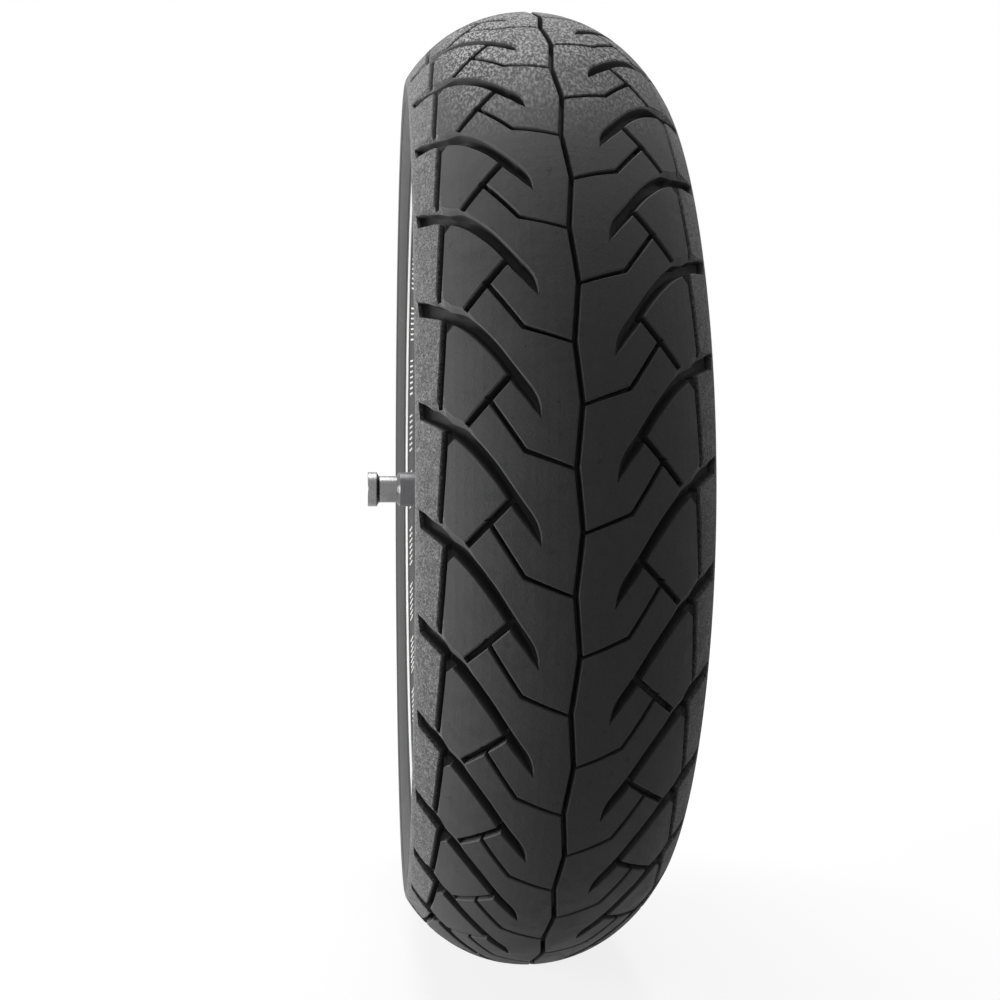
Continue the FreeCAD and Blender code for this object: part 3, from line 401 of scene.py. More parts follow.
TYRE_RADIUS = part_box("tread_band")[1].z
dress(cord_ply("ply_cord_inner", CORD_LEAN), "carcass_ply_inner")
dress(cord_ply("ply_cord_outer", -CORD_LEAN), "carcass_ply_outer")
dress(cord_ply("breaker_cord", CORD_LEAN / 2), "breaker_ply")
dress(moulded("liner_rubber", LINER_DARK, LINER_LIGHT, 0.48, 0.0008, 0.00005, 0.03), "inner_liner")
bead_finish = moulded("bead_rubber", BEAD_DARK, BEAD_LIGHT, 0.55, 0.0006, 0.00006, 0.02)
wire_finish, tree, shader, place = start_finish("bead_wire")
spot = use_group(tree, wheel_place, place)
wire_turns = 2 * math.pi / BEAD_WIRE_SIZE
layer = math_node(tree, "SINE", math_node(tree, "MULTIPLY", spot.outputs["Radius"], wire_turns))
row = math_node(tree, "SINE", math_node(tree, "MULTIPLY", spot.outputs["Along"], wire_turns))
wires = spread(tree, math_node(tree, "MULTIPLY", layer, row), -1.0, 1.0)
specks = use_group(tree, grain, place, size=0.0005, sharpness=0.5)
tree.links.new(blend_colours(tree, wires, WIRE_RUBBER, WIRE_COPPER), shader.inputs["Base Color"])
tree.links.new(spread(tree, wires, 0.2, 0.8, 0.1, 0.95), shader.inputs["Metallic"])
roughness = math_node(tree, "MULTIPLY_ADD", specks.outputs["Specks"], 0.15, 0.35)
tree.links.new(roughness, shader.inputs["Roughness"])
raise_bumps(tree, shader, wires, 0.0003)
for side in ("_left", "_right"):
    dress(bead_finish, "bead_filler" + side, "chafer" + side)
    dress(wire_finish, "bead_core" + side)

# ---------------------------------------------------------------- sidewalls
# Each sidewall is moulded with the tyre: a bulge under the tread's edge, a hollow above the rim, fine rim lines
# that show how the bead sits, a low band for markings and one thin raised ring. It carries no lettering.
MM = 0.001
TREAD_SEAM = (50.717, 176.675)
SIDEWALL_FOOT = (40.65, 143.9)
BULGE_SHARE = 0.57
FOOT_ROUND = 2.7
CURL_CENTRE = (36.35, 136.6)
CURL = 4.6
SIDEWALL_STEPS = 192
RING_RADIUS = 157.4
# Raised lines on the outside: radius, half width and height.
RIM_LINES = (
    (146.0, 0.35, 0.35), (148.0, 0.25, 0.25), (159.6, 0.40, -0.30), (155.9, 0.30, -0.25), (170.4, 0.45, 0.30),
)
LINE_SLOPE = 0.18
MARKING_BAND = (149.6, 155.2)
BAND_HEIGHT = 0.15
BAND_SLOPE = 0.3
SIDEWALL_ROWS = 22
SPIN_WELD = 0.003
FINE_RINGS = 5200.0          # radians of the rings' wave for each metre of radius
SCUFF_GREY = (0.14, 0.14, 0.14)
# The hidden inner side, against the turned-up ply, the filler, the carcass and the tread.
SIDEWALL_BACK = [
    (31.75, 136.6), (30.8, 136.7), (33.4, 141.0), (35.9, 147.1), (35.4, 148.6), (38.4, 149.4),
    (41.9, 154.1), (43.7, 157.8), (44.9, 164.0), (44.5, 169.6), (43.5, 173.8), (47.7, 176.6),
]
inwards = TREAD_SEAM[0] - SIDEWALL_FOOT[0]
height = TREAD_SEAM[1] - SIDEWALL_FOOT[1]
both_arcs = (inwards ** 2 + height ** 2) / (2 * inwards)
bulge = BULGE_SHARE * both_arcs
hollow = both_arcs - bulge
meeting = TREAD_SEAM[1] - bulge * height / both_arcs


def sidewall_y(r):
    """The moulded outside of the sidewall at a radius, between the tread's edge and the foot."""
    if r > meeting:
        return TREAD_SEAM[0] - bulge + math.sqrt(bulge ** 2 - (TREAD_SEAM[1] - r) ** 2)
    return SIDEWALL_FOOT[0] + hollow - math.sqrt(hollow ** 2 - (r - SIDEWALL_FOOT[1]) ** 2)


def relief(r):
    """How far the raised lines and the marking band stand out at a radius."""
    inner, outer = MARKING_BAND
    rise = BAND_HEIGHT * max(0.0, min(1.0, (r - inner) / BAND_SLOPE, (outer - r) / BAND_SLOPE))
    for middle, half_width, line_height in RIM_LINES:
        rise += line_height * max(0.0, min(1.0, (half_width - abs(r - middle)) / LINE_SLOPE + 0.001))
    return rise


def sidewall_outline():
    """The section's points (y, r), down the outside, round the foot and back up the hidden side."""
    radii = {SIDEWALL_FOOT[1] + height * i / SIDEWALL_ROWS for i in range(SIDEWALL_ROWS + 1)}
    for middle, half_width, _ in RIM_LINES:
        radii |= {middle + side * (half_width - step) for side in (-1, 1) for step in (0, LINE_SLOPE)}
    for edge, way in zip(MARKING_BAND, (1, -1)):
        radii |= {edge, edge + way * BAND_SLOPE}
    outside = [(sidewall_y(r) + relief(r), r) for r in sorted(radii, reverse=True)]
    foot = []
    for i in range(1, 7):
        lean = math.radians(90 + 15 * i)
        foot.append((SIDEWALL_FOOT[0] - FOOT_ROUND + FOOT_ROUND * math.sin(lean),
                     SIDEWALL_FOOT[1] + FOOT_ROUND * math.cos(lean)))
    curl = []
    for i in range(6):
        lean = math.radians(360 - 18 * i)
        curl.append((CURL_CENTRE[0] + CURL * math.sin(lean), CURL_CENTRE[1] + CURL * math.cos(lean)))
    return outside + foot + curl + SIDEWALL_BACK


def spun(name, outline, steps, side=1):
    """A closed outline (y, r), in millimetres, spun once round the axle as one piece."""
    bpy.ops.mesh.primitive_circle_add(vertices=len(outline), fill_type="NOTHING")
    piece = bpy.context.object
    piece.name = name
    for vertex, (y, r) in zip(piece.data.vertices, outline):
        vertex.co = (r * MM, side * y * MM, 0)
    bpy.ops.object.mode_set(mode="EDIT")
    bpy.ops.mesh.select_all(action="SELECT")
    bpy.ops.mesh.spin(steps=steps, angle=2 * math.pi, center=(0, 0, 0), axis=(0, 1, 0))
    bpy.ops.mesh.select_all(action="SELECT")
    bpy.ops.mesh.remove_doubles(threshold=SPIN_WELD * MM)
    bpy.ops.mesh.normals_make_consistent(inside=False)
    bpy.ops.object.mode_set(mode="OBJECT")
    bpy.ops.object.shade_smooth_by_angle(angle=math.radians(24))
    return piece


RUBBER_DARK = (0.049, 0.049, 0.050)
RUBBER_LIGHT = (0.065, 0.065, 0.066)
sidewall_finish, tree, shader, place = start_finish("sidewall_rubber")
spot = use_group(tree, wheel_place, place)
cloud = use_group(tree, stains, place, size=0.04, swirl=2.5).outputs["Tone"]
specks = use_group(tree, grain, place, size=0.0006, sharpness=0.5)
pips = use_group(tree, grain, place, size=0.004, sharpness=1.0)
share = math_node(tree, "MULTIPLY", cloud, 0.65)
share = math_node(tree, "MULTIPLY_ADD", specks.outputs["Specks"], 0.35, share)
scuffed = spread(tree, pips.outputs["Height"], 0.64, 0.70)
rubber = blend_colours(tree, share, RUBBER_DARK, RUBBER_LIGHT)
rubber = blend_colours(tree, math_node(tree, "MULTIPLY", scuffed, 0.3), rubber, SCUFF_GREY)
tree.links.new(rubber, shader.inputs["Base Color"])
shader.inputs["Specular IOR Level"].default_value = 0.25
tree.links.new(math_node(tree, "MULTIPLY_ADD", share, 0.16, 0.52), shader.inputs["Roughness"])
raise_bumps(tree, shader, specks.outputs["Height"], 0.00007)
rings = math_node(tree, "SINE", math_node(tree, "MULTIPLY", spot.outputs["Radius"], FINE_RINGS))
raise_bumps(tree, shader, rings, 0.000012)
for side, way in (("left", -1), ("right", 1)):
    sidewall = spun("sidewall_" + side + "_moulded", sidewall_outline(), SIDEWALL_STEPS, way)
    sidewall.data.materials.append(sidewall_finish)
    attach(sidewall, "wheel")
    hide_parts("sidewall_" + side)

# ---------------------------------------------------------------- white markings
# The raised ring and groups of short plain ticks beside it are faced with white rubber. The ticks stand where
# a maker's words would be, and say nothing.
WHITE_HEIGHT = 0.30
WHITE_HALF_WIDTH = 0.75
TICK_GAP = 3.2
TICK_LENGTH = 4.0
TICK_WIDTH = 0.95
TICK_LEAN = 32.0
TICK_GROUPS = 30
TICKS = 7
TICK_STEP = 1.2
TICK_THICKNESS = 0.6
TICK_EDGE = 0.12
TICK_RISE = 0.02
WHITE = (0.88, 0.88, 0.87)
WHITE_SOILED = (0.74, 0.74, 0.72)
white_finish = moulded("white_rubber", WHITE_SOILED, WHITE, 0.5, 0.0005, 0.00003, 0.02)
white_outline = []
for y, share in ((-0.3, -1), (-0.3, 1), (0.2, 1), (WHITE_HEIGHT, 0.8), (WHITE_HEIGHT, -0.8), (0.2, -1)):
    r = RING_RADIUS + share * WHITE_HALF_WIDTH
    white_outline.append((sidewall_y(r) + y, r))


def tick(turn, way):
    """One short bar beside the ring, leaning, with chamfered edges."""
    bpy.ops.mesh.primitive_cube_add(size=1)
    bar = bpy.context.object
    bevel = bar.modifiers.new("edges", "BEVEL")
    bevel.width = TICK_EDGE
    bevel.segments = 1
    bar.scale = (TICK_LENGTH, TICK_THICKNESS, TICK_WIDTH)
    bpy.ops.object.transform_apply(location=False, rotation=False, scale=True)
    bpy.ops.object.modifier_apply(modifier=bevel.name)
    start = RING_RADIUS - TICK_GAP
    lean = math.radians(TICK_LEAN)

    def on_the_sidewall(x, y, z):
        along = x + TICK_LENGTH / 2
        r = start - along * math.cos(lean) + z * math.sin(lean)
        beside = along * math.sin(lean) + z * math.cos(lean)
        swing = turn + beside / start
        out = sidewall_y(r) + relief(r) + y + TICK_RISE
        return (r * math.cos(swing) * MM, way * out * MM, -r * math.sin(swing) * MM)

    for vertex in bar.data.vertices:
        vertex.co = on_the_sidewall(*vertex.co)
    return bar


for side, way in (("left", -1), ("right", 1)):
    marks = [spun("markings_" + side, white_outline, SIDEWALL_STEPS, way)]
    for group in range(TICK_GROUPS):
        for i in range(TICKS):
            turn = 360 / TICK_GROUPS * group + TICK_STEP * (i - (TICKS - 1) / 2)
            marks.append(tick(math.radians(turn), way))
    bpy.ops.object.select_all(action="DESELECT")
    for mark in marks:
        mark.select_set(True)
    bpy.context.view_layer.objects.active = marks[0]
    bpy.ops.object.join()
    bpy.ops.object.mode_set(mode="EDIT")
    bpy.ops.mesh.select_all(action="SELECT")
    bpy.ops.mesh.normals_make_consistent(inside=False)
    bpy.ops.object.mode_set(mode="OBJECT")
    bpy.context.object.data.materials.append(white_finish)
    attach(bpy.context.object, "wheel")

# ---------------------------------------------------------------- tread
# The tread is one moulded band of black rubber, about 9 mm thick at the crown and laid over the breaker.
# One pitch of its pattern is modelled flat, in millimetres: x across the tread, y round it, z out of it.
# Its grooves are cut, the pitch is repeated, and the strip is laid round the crown's cross arc.
CROWN_RADIUS = TYRE_RADIUS / MM
CROWN_ARC = 59.3
CROWN_ANGLE = math.radians(57.0)
TREAD_ROUND = 6.1
CROWN_CENTRE = CROWN_RADIUS - CROWN_ARC
CROWN_EDGE = CROWN_ARC * CROWN_ANGLE
SHOULDER_Y = (CROWN_ARC - TREAD_ROUND) * math.sin(CROWN_ANGLE)
SHOULDER_R = CROWN_CENTRE + (CROWN_ARC - TREAD_ROUND) * math.cos(CROWN_ANGLE)
TREAD_EDGE = CROWN_EDGE + TREAD_ROUND * (math.pi / 2 - CROWN_ANGLE)
PITCHES = 32
PITCH = 2 * math.pi * CROWN_RADIUS / PITCHES
SLAB = 8.0
COLUMNS = 34
EDGE_COLUMNS = 3
ROWS = 8
GROOVE_CHAMFER = 0.32
FLOOR_ROUND = 0.55
FLOOR_LEFT = 0.85
RAMP_DROP = 0.34
CUTTER_LIFT = 1.0
SEAM_WELD = 0.02
TOUCHING = 0.001
FLAT_UNIT = 100

# Each station of a groove: its upper edge (x, y), its lower edge (x, y), its depth, the width of the shallow
# ramp below its upper edge, and the lean of its lower wall.
SICKLE = [
    (-58.8, 8.7, -57.9, 16.0, 2.6, 0.1, 0.5),
    (-55.4, 9.9, -55.0, 17.5, 3.6, 0.3, 0.6),
    (-52.2, 11.1, -52.4, 18.8, 4.2, 1.4, 0.6),
    (-49.4, 11.0, -49.6, 20.1, 4.4, 3.0, 0.6),
    (-46.6, 12.7, -46.6, 21.9, 4.6, 3.3, 0.5),
    (-43.0, 16.4, -44.0, 23.6, 4.8, 2.4, 0.5),
    (-39.6, 18.3, -42.0, 25.0, 5.0, 2.0, 0.6),
    (-36.4, 20.9, -40.2, 26.3, 5.0, 1.2, 0.6),
    (-34.0, 24.4, -38.0, 28.1, 5.0, 0.3, 0.7),
    (-31.0, 27.8, -34.8, 31.1, 5.0, 0.1, 0.8),
    (-26.1, 33.7, -29.9, 36.6, 5.0, 0.1, 0.8),
    (-21.9, 39.7, -25.5, 42.2, 5.0, 0.1, 0.7),
    (-17.5, 46.0, -21.4, 48.6, 4.9, 0.1, 0.7),
    (-14.8, 49.7, -18.8, 52.0, 4.6, 0.1, 0.7),
    (-13.1, 52.8, -16.9, 54.3, 3.9, 0.1, 0.6),
    (-12.1, 56.2, -14.9, 57.1, 2.8, 0.1, 0.4),
    (-12.0, 58.7, -13.1, 59.0, 1.4, 0.0, 0.1),
    (-12.0, 60.1, -12.3, 60.2, 0.6, 0.0, 0.0),
]
LONG_GROOVE = [
    (-47.1, 20.0, -44.4, 20.2, 4.4, 0.0, 0.2),
    (-47.3, 23.0, -44.6, 26.0, 4.4, 0.0, 0.2),
    (-49.4, 50.6, -46.8, 53.2, 4.2, 0.0, 0.2),
    (-49.7, 54.2, -47.1, 54.4, 4.2, 0.0, 0.2),
]
CORNER_FACET = [
    (-44.7, 26.6, -44.3, 26.8, 0.3, 0.0, 0.0),
    (-45.0, 21.2, -41.9, 24.8, 2.4, 0.0, 0.0),
    (-44.0, 19.8, -40.8, 23.4, 3.2, 0.0, 0.0),
]
DIAGONAL = [
    (-22.5, 3.5, -20.3, 5.7, 4.7, 0.0, 0.3),
    (-30.5, 11.5, -28.3, 13.7, 4.5, 0.0, 0.3),
    (-35.5, 16.5, -33.3, 18.7, 4.0, 0.0, 0.4),
    (-38.4, 19.5, -36.3, 21.6, 3.2, 0.0, 0.5),
]
THIN_GROOVE = [
    (-29.0, 10.5, -31.1, 11.7, 4.4, 0.0, 0.1),
    (-16.7, 28.7, -18.0, 30.6, 4.4, 0.0, 0.1),
    (-1.4, 34.8, -1.4, 36.6, 4.4, 0.0, 0.1),
]
CENTRE_SWING = 1.02
CENTRE_HALF_WIDTH = 1.28
CENTRE_DEPTH = 5.4
CENTRE_VERTEX = 14.74


def between_stations(stations, steps, curved):
    """More stations between the given ones, in straight runs or along one smooth curve."""
    rows = []
    for i in range(len(stations) - 1):
        before = stations[max(i - 1, 0)]
        after = stations[min(i + 2, len(stations) - 1)]
        for k in range(steps):
            t = k / steps
            row = []
            for a, b, c, d in zip(before, stations[i], stations[i + 1], after):
                if curved:
                    bend = (2 * a - 5 * b + 4 * c - d) * t ** 2 + (3 * b - a - 3 * c + d) * t ** 3
                    row.append(b + ((c - a) * t + bend) / 2)
                else:
                    row.append(b + (c - b) * t)
            rows.append(row)
    return rows + [list(stations[-1])]


def groove_section(station):
    """Nine corners of the cutter across a groove: ramp, upper wall, rounded floor, lower wall and chamfer."""
    ux, uy, lx, ly, depth, ramp, lean = station
    upper = Vector((ux, uy))
    lower = Vector((lx, ly))
    width = (lower - upper).length
    across = (lower - upper) / width
    chamfer = min(GROOVE_CHAMFER, width * 0.15)
    floor_round = min(FLOOR_ROUND, width * 0.1, depth * 0.3)
    room = width * FLOOR_LEFT - 2 * (chamfer + floor_round)
    share = min(1, room / max(ramp + lean, room))
    shelf = chamfer + ramp * share
    drop = chamfer * 0.8 + ramp * share * RAMP_DROP
    lower_wall = chamfer + lean * share
    steps = [
        (upper, -CUTTER_LIFT, CUTTER_LIFT),
        (upper, chamfer * 0.2, -chamfer * 0.6),
        (upper, shelf, -drop),
        (upper, shelf + floor_round * 0.4, floor_round - depth),
        (upper, shelf + floor_round, -depth),
        (lower, -lower_wall - floor_round, -depth),
        (lower, -lower_wall, floor_round - depth),
        (lower, -chamfer, -chamfer),
        (lower, CUTTER_LIFT, CUTTER_LIFT),
    ]
    return [Vector((*(edge + across * reach), height)) for edge, reach, height in steps]


def groove_cutter(stations):
    """A closed cutter, extruded from its first section through all the others."""
    sections = [groove_section(station) for station in stations]
    bpy.ops.mesh.primitive_circle_add(vertices=len(sections[0]), fill_type="NGON")
    cutter = bpy.context.object
    bpy.ops.object.mode_set(mode="EDIT")
    mesh = bmesh.from_edit_mesh(cutter.data)
    corner = mesh.verts.layers.int.new("corner")
    for i, vertex in enumerate(mesh.verts):
        vertex[corner] = i
    for k, section in enumerate(sections):
        if k > 0:
            bpy.ops.mesh.extrude_region_move()
        mesh = bmesh.from_edit_mesh(cutter.data)
        corner = mesh.verts.layers.int["corner"]
        for vertex in mesh.verts:
            if vertex.select:
                vertex.co = section[vertex[corner]]
        bmesh.update_edit_mesh(cutter.data)
    bpy.ops.mesh.select_all(action="SELECT")
    bpy.ops.mesh.normals_make_consistent(inside=False)
    bpy.ops.object.mode_set(mode="OBJECT")
    return cutter


def cut(piece, cutter):
    """Takes the cutter's space out of the piece and removes the cutter."""
    boolean = piece.modifiers.new("cut", "BOOLEAN")
    boolean.operation = "DIFFERENCE"
    boolean.solver = "EXACT"
    boolean.object = cutter
    bpy.context.view_layer.objects.active = piece
    bpy.ops.object.modifier_apply(modifier=boolean.name)
    bpy.data.objects.remove(cutter)


def place_vertices(piece, place):
    """Moves every vertex of a piece to place(x, y, z)."""
    for vertex in piece.data.vertices:
        vertex.co = place(*vertex.co)
    piece.data.update()


def slab_column(x, y, z):
    """Even columns over the crown, and a few narrow ones over each rounded shoulder."""
    column = abs(x) * (COLUMNS / 2 + EDGE_COLUMNS)
    inner = min(column, COLUMNS / 2) / (COLUMNS / 2) * CROWN_EDGE
    outer = max(column - COLUMNS / 2, 0) / EDGE_COLUMNS * (TREAD_EDGE - CROWN_EDGE)
    return (math.copysign(inner + outer, x), (y + 1) * PITCH / 2, z)


bpy.ops.mesh.primitive_grid_add(x_subdivisions=COLUMNS + 2 * EDGE_COLUMNS, y_subdivisions=ROWS, size=2)
tread = bpy.context.object
tread.name = "tread"
place_vertices(tread, slab_column)
bpy.ops.object.mode_set(mode="EDIT")
bpy.ops.mesh.select_all(action="SELECT")
bpy.ops.mesh.extrude_region_move(TRANSFORM_OT_translate={"value": (0, 0, -SLAB)})
bpy.ops.mesh.select_all(action="SELECT")
bpy.ops.mesh.normals_make_consistent(inside=False)
bpy.ops.object.mode_set(mode="OBJECT")

zigzag = []
for turn in range(-2, 3):
    side = 1 if turn % 2 == 0 else -1
    x = side * CENTRE_SWING
    y = CENTRE_VERTEX + turn * PITCH / 2
    zigzag.append((x - CENTRE_HALF_WIDTH, y, x + CENTRE_HALF_WIDTH, y, CENTRE_DEPTH, 0.0, 0.2))
cut(tread, groove_cutter(between_stations(zigzag, 4, False)))
for stations, steps, curved in (
    (SICKLE, 3, True),
    (LONG_GROOVE, 6, False),
    (CORNER_FACET, 2, False),
    (DIAGONAL, 3, False),
    (THIN_GROOVE, 4, False),
):
    for side in (-1, 1):
        for turn in (-2, -1, 0, 1):
            shift = turn * PITCH + (PITCH / 2 if side > 0 else 0)
            moved = []
            for ux, uy, lx, ly, *wall in between_stations(stations, steps, curved):
                moved.append((-side * ux, uy + shift, -side * lx, ly + shift, *wall))
            along = [station[1] for station in moved] + [station[3] for station in moved]
            if max(along) > 0 and min(along) < PITCH:
                cut(tread, groove_cutter(moved))

# The slab's ends, sides and bottom are opened, so that only the moulded face is left to repeat.
bpy.context.view_layer.objects.active = tread
bpy.ops.object.mode_set(mode="EDIT")
bpy.ops.mesh.select_all(action="DESELECT")
pitch_mesh = bmesh.from_edit_mesh(tread.data)
for face in pitch_mesh.faces:
    middle = face.calc_center_median()
    at_end = min(middle.y, PITCH - middle.y) < TOUCHING and abs(face.normal.y) > 0.9
    at_side = TREAD_EDGE - abs(middle.x) < TOUCHING and abs(face.normal.x) > 0.9
    if at_end or at_side or middle.z < TOUCHING - SLAB:
        face.select = True
bmesh.update_edit_mesh(tread.data)
bpy.ops.mesh.delete(type="FACE")
bpy.ops.mesh.select_all(action="SELECT")
bpy.ops.mesh.quads_convert_to_tris(quad_method="BEAUTY", ngon_method="BEAUTY")
bpy.ops.object.mode_set(mode="OBJECT")
repeat = tread.modifiers.new("round the crown", "ARRAY")
repeat.count = PITCHES
repeat.use_relative_offset = False
repeat.use_constant_offset = True
repeat.constant_offset_displace = (0, PITCH, 0)
repeat.use_merge_vertices = True
repeat.merge_threshold = SEAM_WELD
bpy.ops.object.modifier_apply(modifier=repeat.name)

# The flat place of each point is kept as a UV map, one unit for 100 mm, for the finish to follow.
flat_map = tread.data.uv_layers.new(name="flat")
for corner in tread.data.loops:
    place = tread.data.vertices[corner.vertex_index].co
    flat_map.data[corner.index].uv = (0.5 + place.x / FLAT_UNIT, place.y / FLAT_UNIT)


def on_the_crown(x, y, z):
    """A flat point of the strip, laid on the tyre."""
    if abs(x) <= CROWN_EDGE:
        lean = x / CROWN_ARC
        across = (CROWN_ARC + z) * math.sin(lean)
        radius = CROWN_CENTRE + (CROWN_ARC + z) * math.cos(lean)
    else:
        lean = CROWN_ANGLE + (abs(x) - CROWN_EDGE) / TREAD_ROUND
        across = math.copysign(SHOULDER_Y + (TREAD_ROUND + z) * math.sin(lean), x)
        radius = SHOULDER_R + (TREAD_ROUND + z) * math.cos(lean)
    turn = y / CROWN_RADIUS
    return (radius * math.cos(turn) * MM, across * MM, -radius * math.sin(turn) * MM)


place_vertices(tread, on_the_crown)

# From each edge of the tread its hidden inner face is drawn in, over the sidewall, the ply and the breaker.
INNER_FACE = [
    (47.7, 176.6), (43.4, 173.8), (41.05, 178.2), (37.9, 181.9), (36.0, 184.9),
    (28.0, 190.5), (19.0, 194.7), (9.5, 197.2), (3.0, 198.0),
]
bpy.ops.object.mode_set(mode="EDIT")
bpy.ops.mesh.select_all(action="SELECT")
bpy.ops.mesh.remove_doubles(threshold=SEAM_WELD * MM)
bpy.ops.mesh.select_all(action="DESELECT")
bpy.ops.mesh.select_mode(type="EDGE")
bpy.ops.mesh.select_non_manifold(extend=False, use_wire=False, use_boundary=True, use_multi_face=False)
width, radius = SHOULDER_Y + TREAD_ROUND, SHOULDER_R
for y, r in INNER_FACE:
    bpy.ops.mesh.extrude_edges_move()
    shrink = r / radius
    bpy.ops.transform.resize(value=(shrink, y / width, shrink), center_override=(0, 0, 0))
    width, radius = y, r
bpy.ops.mesh.bridge_edge_loops()
bpy.ops.mesh.select_all(action="SELECT")
bpy.ops.mesh.normals_make_consistent(inside=False)
bpy.ops.object.mode_set(mode="OBJECT")
bpy.ops.object.shade_smooth_by_angle(angle=math.radians(28))

# The moulded face is dark grey and swirls a little. The shoulders are grained like sand and small pits show on
# the blocks. The grooves are painted darker with depth, a painted shade, and their edges get a lighter band,
# partly edge wear and partly a painted highlight.
# Towards the top of the wheel the blocks carry painted grazing light: bright and dark specks drawn out round
# the tread.
TREAD_DARK = (0.070, 0.070, 0.071)
TREAD_LIGHT = (0.104, 0.104, 0.105)
SAND_DARK = (0.085, 0.085, 0.085)
SAND_LIGHT = (0.33, 0.33, 0.33)
# Painted light on the top of the wheel: bright specks over near black, laid on from about 118 to 160 mm above
# the axle, where light grazes the blocks.
GLINT_DARK = (0.010, 0.010, 0.010)
GLINT_BRIGHT = (0.50, 0.50, 0.50)
GLINT_FROM = 0.118
GLINT_AT = 0.160
GLINT_DRAW = 0.42
GLINT_DEPTH = (0.0002, 0.0006)
# The grey of the band along the grooves' edges: partly edge wear, partly a painted highlight.
EDGE_GREY = (0.17, 0.17, 0.17)
# Painted shade: the grooves are painted this grey, more of it the deeper they are; the same grey also colours
# the small pits on the blocks.
GROOVE_SHADE_AND_SPECK_GREY = (0.052, 0.052, 0.053)
GROOVE_SHADE_FROM = 0.0007
GROOVE_SHADE_AT = 0.0020
SAND_FROM = 0.462
SAND_BLEND = 0.006
tread_rubber, tree, shader, place = start_finish("tread_rubber")
flat_place = add(tree, "ShaderNodeUVMap", uv_map="flat").outputs["UV"]
flat_parts = add(tree, "ShaderNodeSeparateXYZ", {0: flat_place})
from_centre = math_node(tree, "ABSOLUTE", math_node(tree, "SUBTRACT", flat_parts.outputs["X"], 0.5))
shoulder = spread(tree, from_centre, SAND_FROM - SAND_BLEND, SAND_FROM + SAND_BLEND)
cloud = use_group(tree, stains, place, size=0.022, swirl=3.0).outputs["Tone"]
fine = use_group(tree, grain, place, size=0.0007, sharpness=0.5)
worms = use_group(tree, stains, place, size=0.0016, swirl=2.6).outputs["Tone"]
pits = use_group(tree, grain, place, size=0.0045, sharpness=1.0)
share = math_node(tree, "MULTIPLY", cloud, 0.7)
share = math_node(tree, "MULTIPLY_ADD", fine.outputs["Specks"], 0.3, share)
face = blend_colours(tree, share, TREAD_DARK, TREAD_LIGHT)
swirled = math_node(tree, "MULTIPLY", worms, spread(tree, from_centre, 0.22, 0.42, 0.05, 0.30))
face = blend_colours(tree, swirled, face, SAND_DARK)
sand = blend_colours(tree, math_node(tree, "POWER", worms, 1.6), SAND_DARK, SAND_LIGHT)
face = blend_colours(tree, shoulder, face, sand)
spot = use_group(tree, wheel_place, place)
rise = math_node(tree, "SUBTRACT", spot.outputs["Radius"], CROWN_CENTRE * MM)
from_arc = add(tree, "ShaderNodeCombineXYZ", {0: rise, 1: spot.outputs["Along"]}).outputs[0]
reach = add(tree, "ShaderNodeVectorMath", {0: from_arc}, operation="LENGTH").outputs["Value"]
depth = math_node(tree, "SUBTRACT", CROWN_ARC * MM, reach)
heights = add(tree, "ShaderNodeSeparateXYZ", {0: place})
stretch = (FLAT_UNIT * MM, FLAT_UNIT * MM * GLINT_DRAW, 0.0)
drawn_out = add(tree, "ShaderNodeVectorMath", {0: flat_place, 1: stretch}, operation="MULTIPLY").outputs[0]
glint_specks = use_group(tree, stains, drawn_out, size=0.00095, swirl=0.6).outputs["Tone"]
glint_specks = spread(tree, glint_specks, 0.25, 0.75)
painted_glints = blend_colours(tree, math_node(tree, "POWER", glint_specks, 1.9), GLINT_DARK, GLINT_BRIGHT)
# Painted light: the specks are laid on only high on the wheel, less at the shoulders and not down in the
# grooves.
glint_share = spread(tree, heights.outputs["Z"], GLINT_FROM, GLINT_AT)
blotch = use_group(tree, stains, place, size=0.016, swirl=0.8).outputs["Tone"]
glint_share = math_node(tree, "MULTIPLY", glint_share, spread(tree, blotch, 0.0, 0.5, 0.45, 0.9))
glint_share = math_node(tree, "MULTIPLY", glint_share, spread(tree, from_centre, 0.30, 0.46, 1.0, 0.25))
glint_share = math_node(tree, "MULTIPLY", glint_share, spread(tree, depth, *GLINT_DEPTH, 1.0, 0.0))
face = blend_colours(tree, glint_share, face, painted_glints)
pitted = math_node(tree, "MULTIPLY", spread(tree, pits.outputs["Height"], 0.66, 0.70), 0.6)
face = blend_colours(tree, pitted, face, GROOVE_SHADE_AND_SPECK_GREY)
on_crown = spread(tree, from_centre, 0.60, 0.585)
# Painted shade in the grooves, growing with depth below the crown.
groove_shade = math_node(tree, "MULTIPLY", spread(tree, depth, GROOVE_SHADE_FROM, GROOVE_SHADE_AT), on_crown)
# A lighter grey band just inside each groove's edge: partly edge wear, partly a painted highlight where the
# edges catch light.
past_edge = spread(tree, depth, 0.00003, 0.00012)
near_edge = spread(tree, depth, 0.00055, 0.0003)
worn_and_lit_edge = math_node(tree, "MULTIPLY", past_edge, near_edge)
worn_and_lit_edge = math_node(tree, "MULTIPLY", math_node(tree, "MULTIPLY", worn_and_lit_edge, on_crown), 0.3)
face = blend_colours(tree, worn_and_lit_edge, face, EDGE_GREY)
face = blend_colours(tree, groove_shade, face, GROOVE_SHADE_AND_SPECK_GREY)
tree.links.new(face, shader.inputs["Base Color"])
shader.inputs["Specular IOR Level"].default_value = 0.17
tree.links.new(math_node(tree, "MULTIPLY_ADD", share, 0.15, 0.56), shader.inputs["Roughness"])
raise_bumps(tree, shader, fine.outputs["Height"], 0.00010)
worm_height = math_node(tree, "MULTIPLY", worms, spread(tree, shoulder, 0, 1, 0.45, 1.0))
raise_bumps(tree, shader, worm_height, 0.00009)
tread.data.materials.append(tread_rubber)
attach(tread, "wheel")
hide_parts("tread_band")

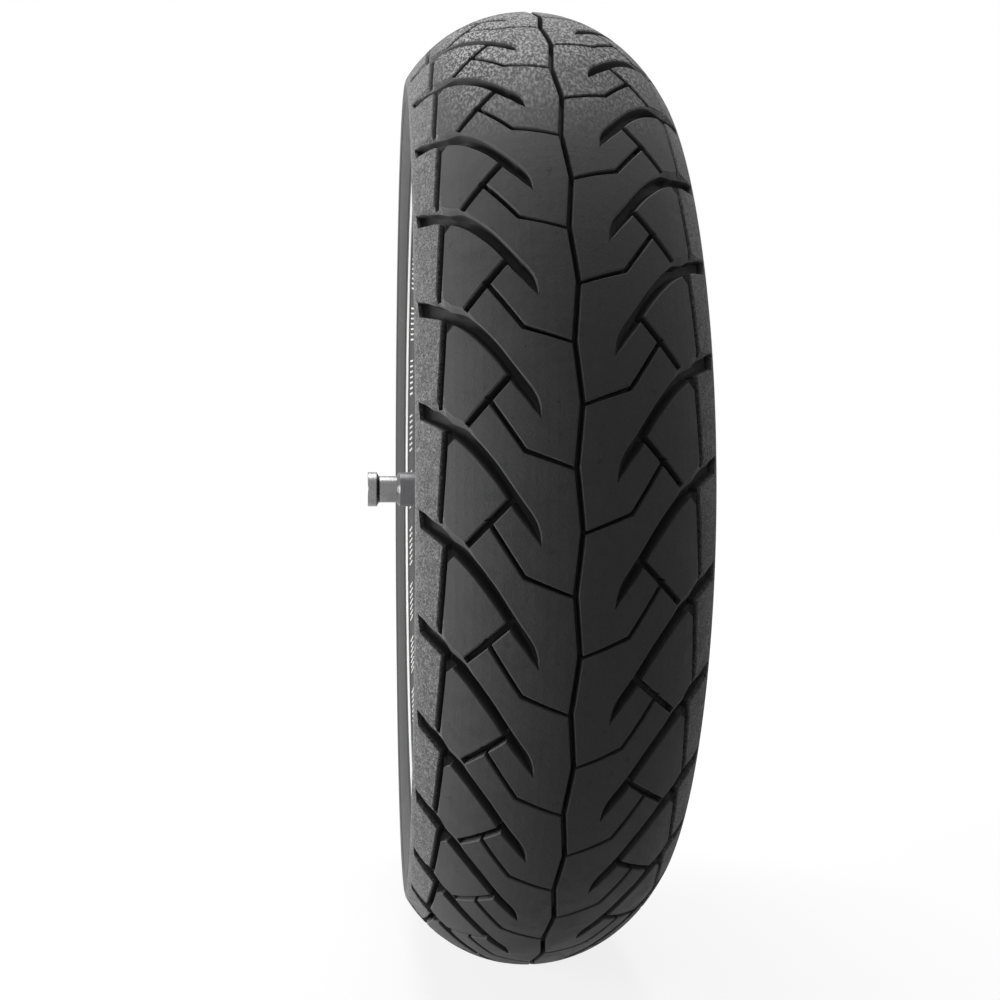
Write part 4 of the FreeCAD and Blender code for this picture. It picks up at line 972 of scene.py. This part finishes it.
# ---------------------------------------------------------------- studio
# A pale floor and a white backdrop, one large soft lamp on the left, a little below the axle, and a dim
# one overhead. The camera stands in front of the tread, a little to the left of the wheel's middle plane.
CAMERA = (0.6450, -0.0656, -0.0043)
LOOK = (-0.9958, 0.0917, -0.0009)
FOCAL = 50.92
AMBIENT = 0.16
LAMP_SIZE = 1.0
LEFT_LAMP_POWER = 54
TOP_LAMP_POWER = 17.5
FLOOR_GREY = 0.21
FLOOR_GLOW_NEAR = 0.84
GLOW_SPAN = (0.4, 1.2)
camera = bpy.data.objects.new("camera", bpy.data.cameras.new("camera"))
camera.data.sensor_width = 36.0
camera.data.lens = FOCAL
camera.data.clip_start = 0.01
camera.location = CAMERA
camera.rotation_euler = Vector(LOOK).to_track_quat("-Z", "Y").to_euler()
bpy.context.scene.collection.objects.link(camera)
bpy.context.scene.camera = camera

world = bpy.data.worlds.new("studio")
bpy.context.scene.world = world
world.use_nodes = True
sky = world.node_tree
sky.nodes.clear()


def seen_share(tree):
    """One for the rays that show the background: straight, through glass or off a gloss. Zero for its light."""
    rays = add(tree, "ShaderNodeLightPath").outputs
    straight = math_node(tree, "MAXIMUM", rays["Is Camera Ray"], rays["Is Transmission Ray"])
    return math_node(tree, "MAXIMUM", straight, rays["Is Glossy Ray"])


shown = math_node(sky, "MULTIPLY_ADD", seen_share(sky), 1.0 - AMBIENT, AMBIENT)
backdrop = add(sky, "ShaderNodeBackground", {"Color": (1, 1, 1, 1), "Strength": shown})
add(sky, "ShaderNodeOutputWorld", {"Surface": backdrop.outputs[0]})


def lamp(name, place, power):
    """A square soft lamp that faces the wheel."""
    light = bpy.data.objects.new(name, bpy.data.lights.new(name, "AREA"))
    light.data.energy = power
    light.data.size = LAMP_SIZE
    light.location = place
    light.rotation_euler = (-Vector(place)).to_track_quat("-Z", "Y").to_euler()
    bpy.context.scene.collection.objects.link(light)


lamp("left_lamp", (-0.02, -1.5, -0.25), LEFT_LAMP_POWER)
lamp("top_lamp", (-0.35, -0.1, 1.45), TOP_LAMP_POWER)

bpy.ops.object.select_all(action="DESELECT")
bpy.ops.mesh.primitive_plane_add(size=12, location=(0, 0, cad_low.z))
floor = bpy.context.object
floor.name = "floor"
floor_paint, tree, shader, place = start_finish("floor_paint")
spot = use_group(tree, stains, place, size=0.4, swirl=0.5)
shade = math_node(tree, "MULTIPLY_ADD", spot.outputs["Tone"], 0.02, FLOOR_GREY)
tree.links.new(shade, shader.inputs["Base Color"])
shader.inputs["Roughness"].default_value = 0.9
shader.inputs["Specular IOR Level"].default_value = 0
shader.inputs["Emission Color"].default_value = (1, 1, 1, 1)
away = add(tree, "ShaderNodeVectorMath", {0: place}, operation="LENGTH").outputs["Value"]
glow = spread(tree, away, *GLOW_SPAN, FLOOR_GLOW_NEAR, 1.0)
tree.links.new(math_node(tree, "MULTIPLY", glow, seen_share(tree)), shader.inputs["Emission Strength"])
floor.data.materials.append(floor_paint)

bpy.context.scene.view_settings.view_transform = "Standard"
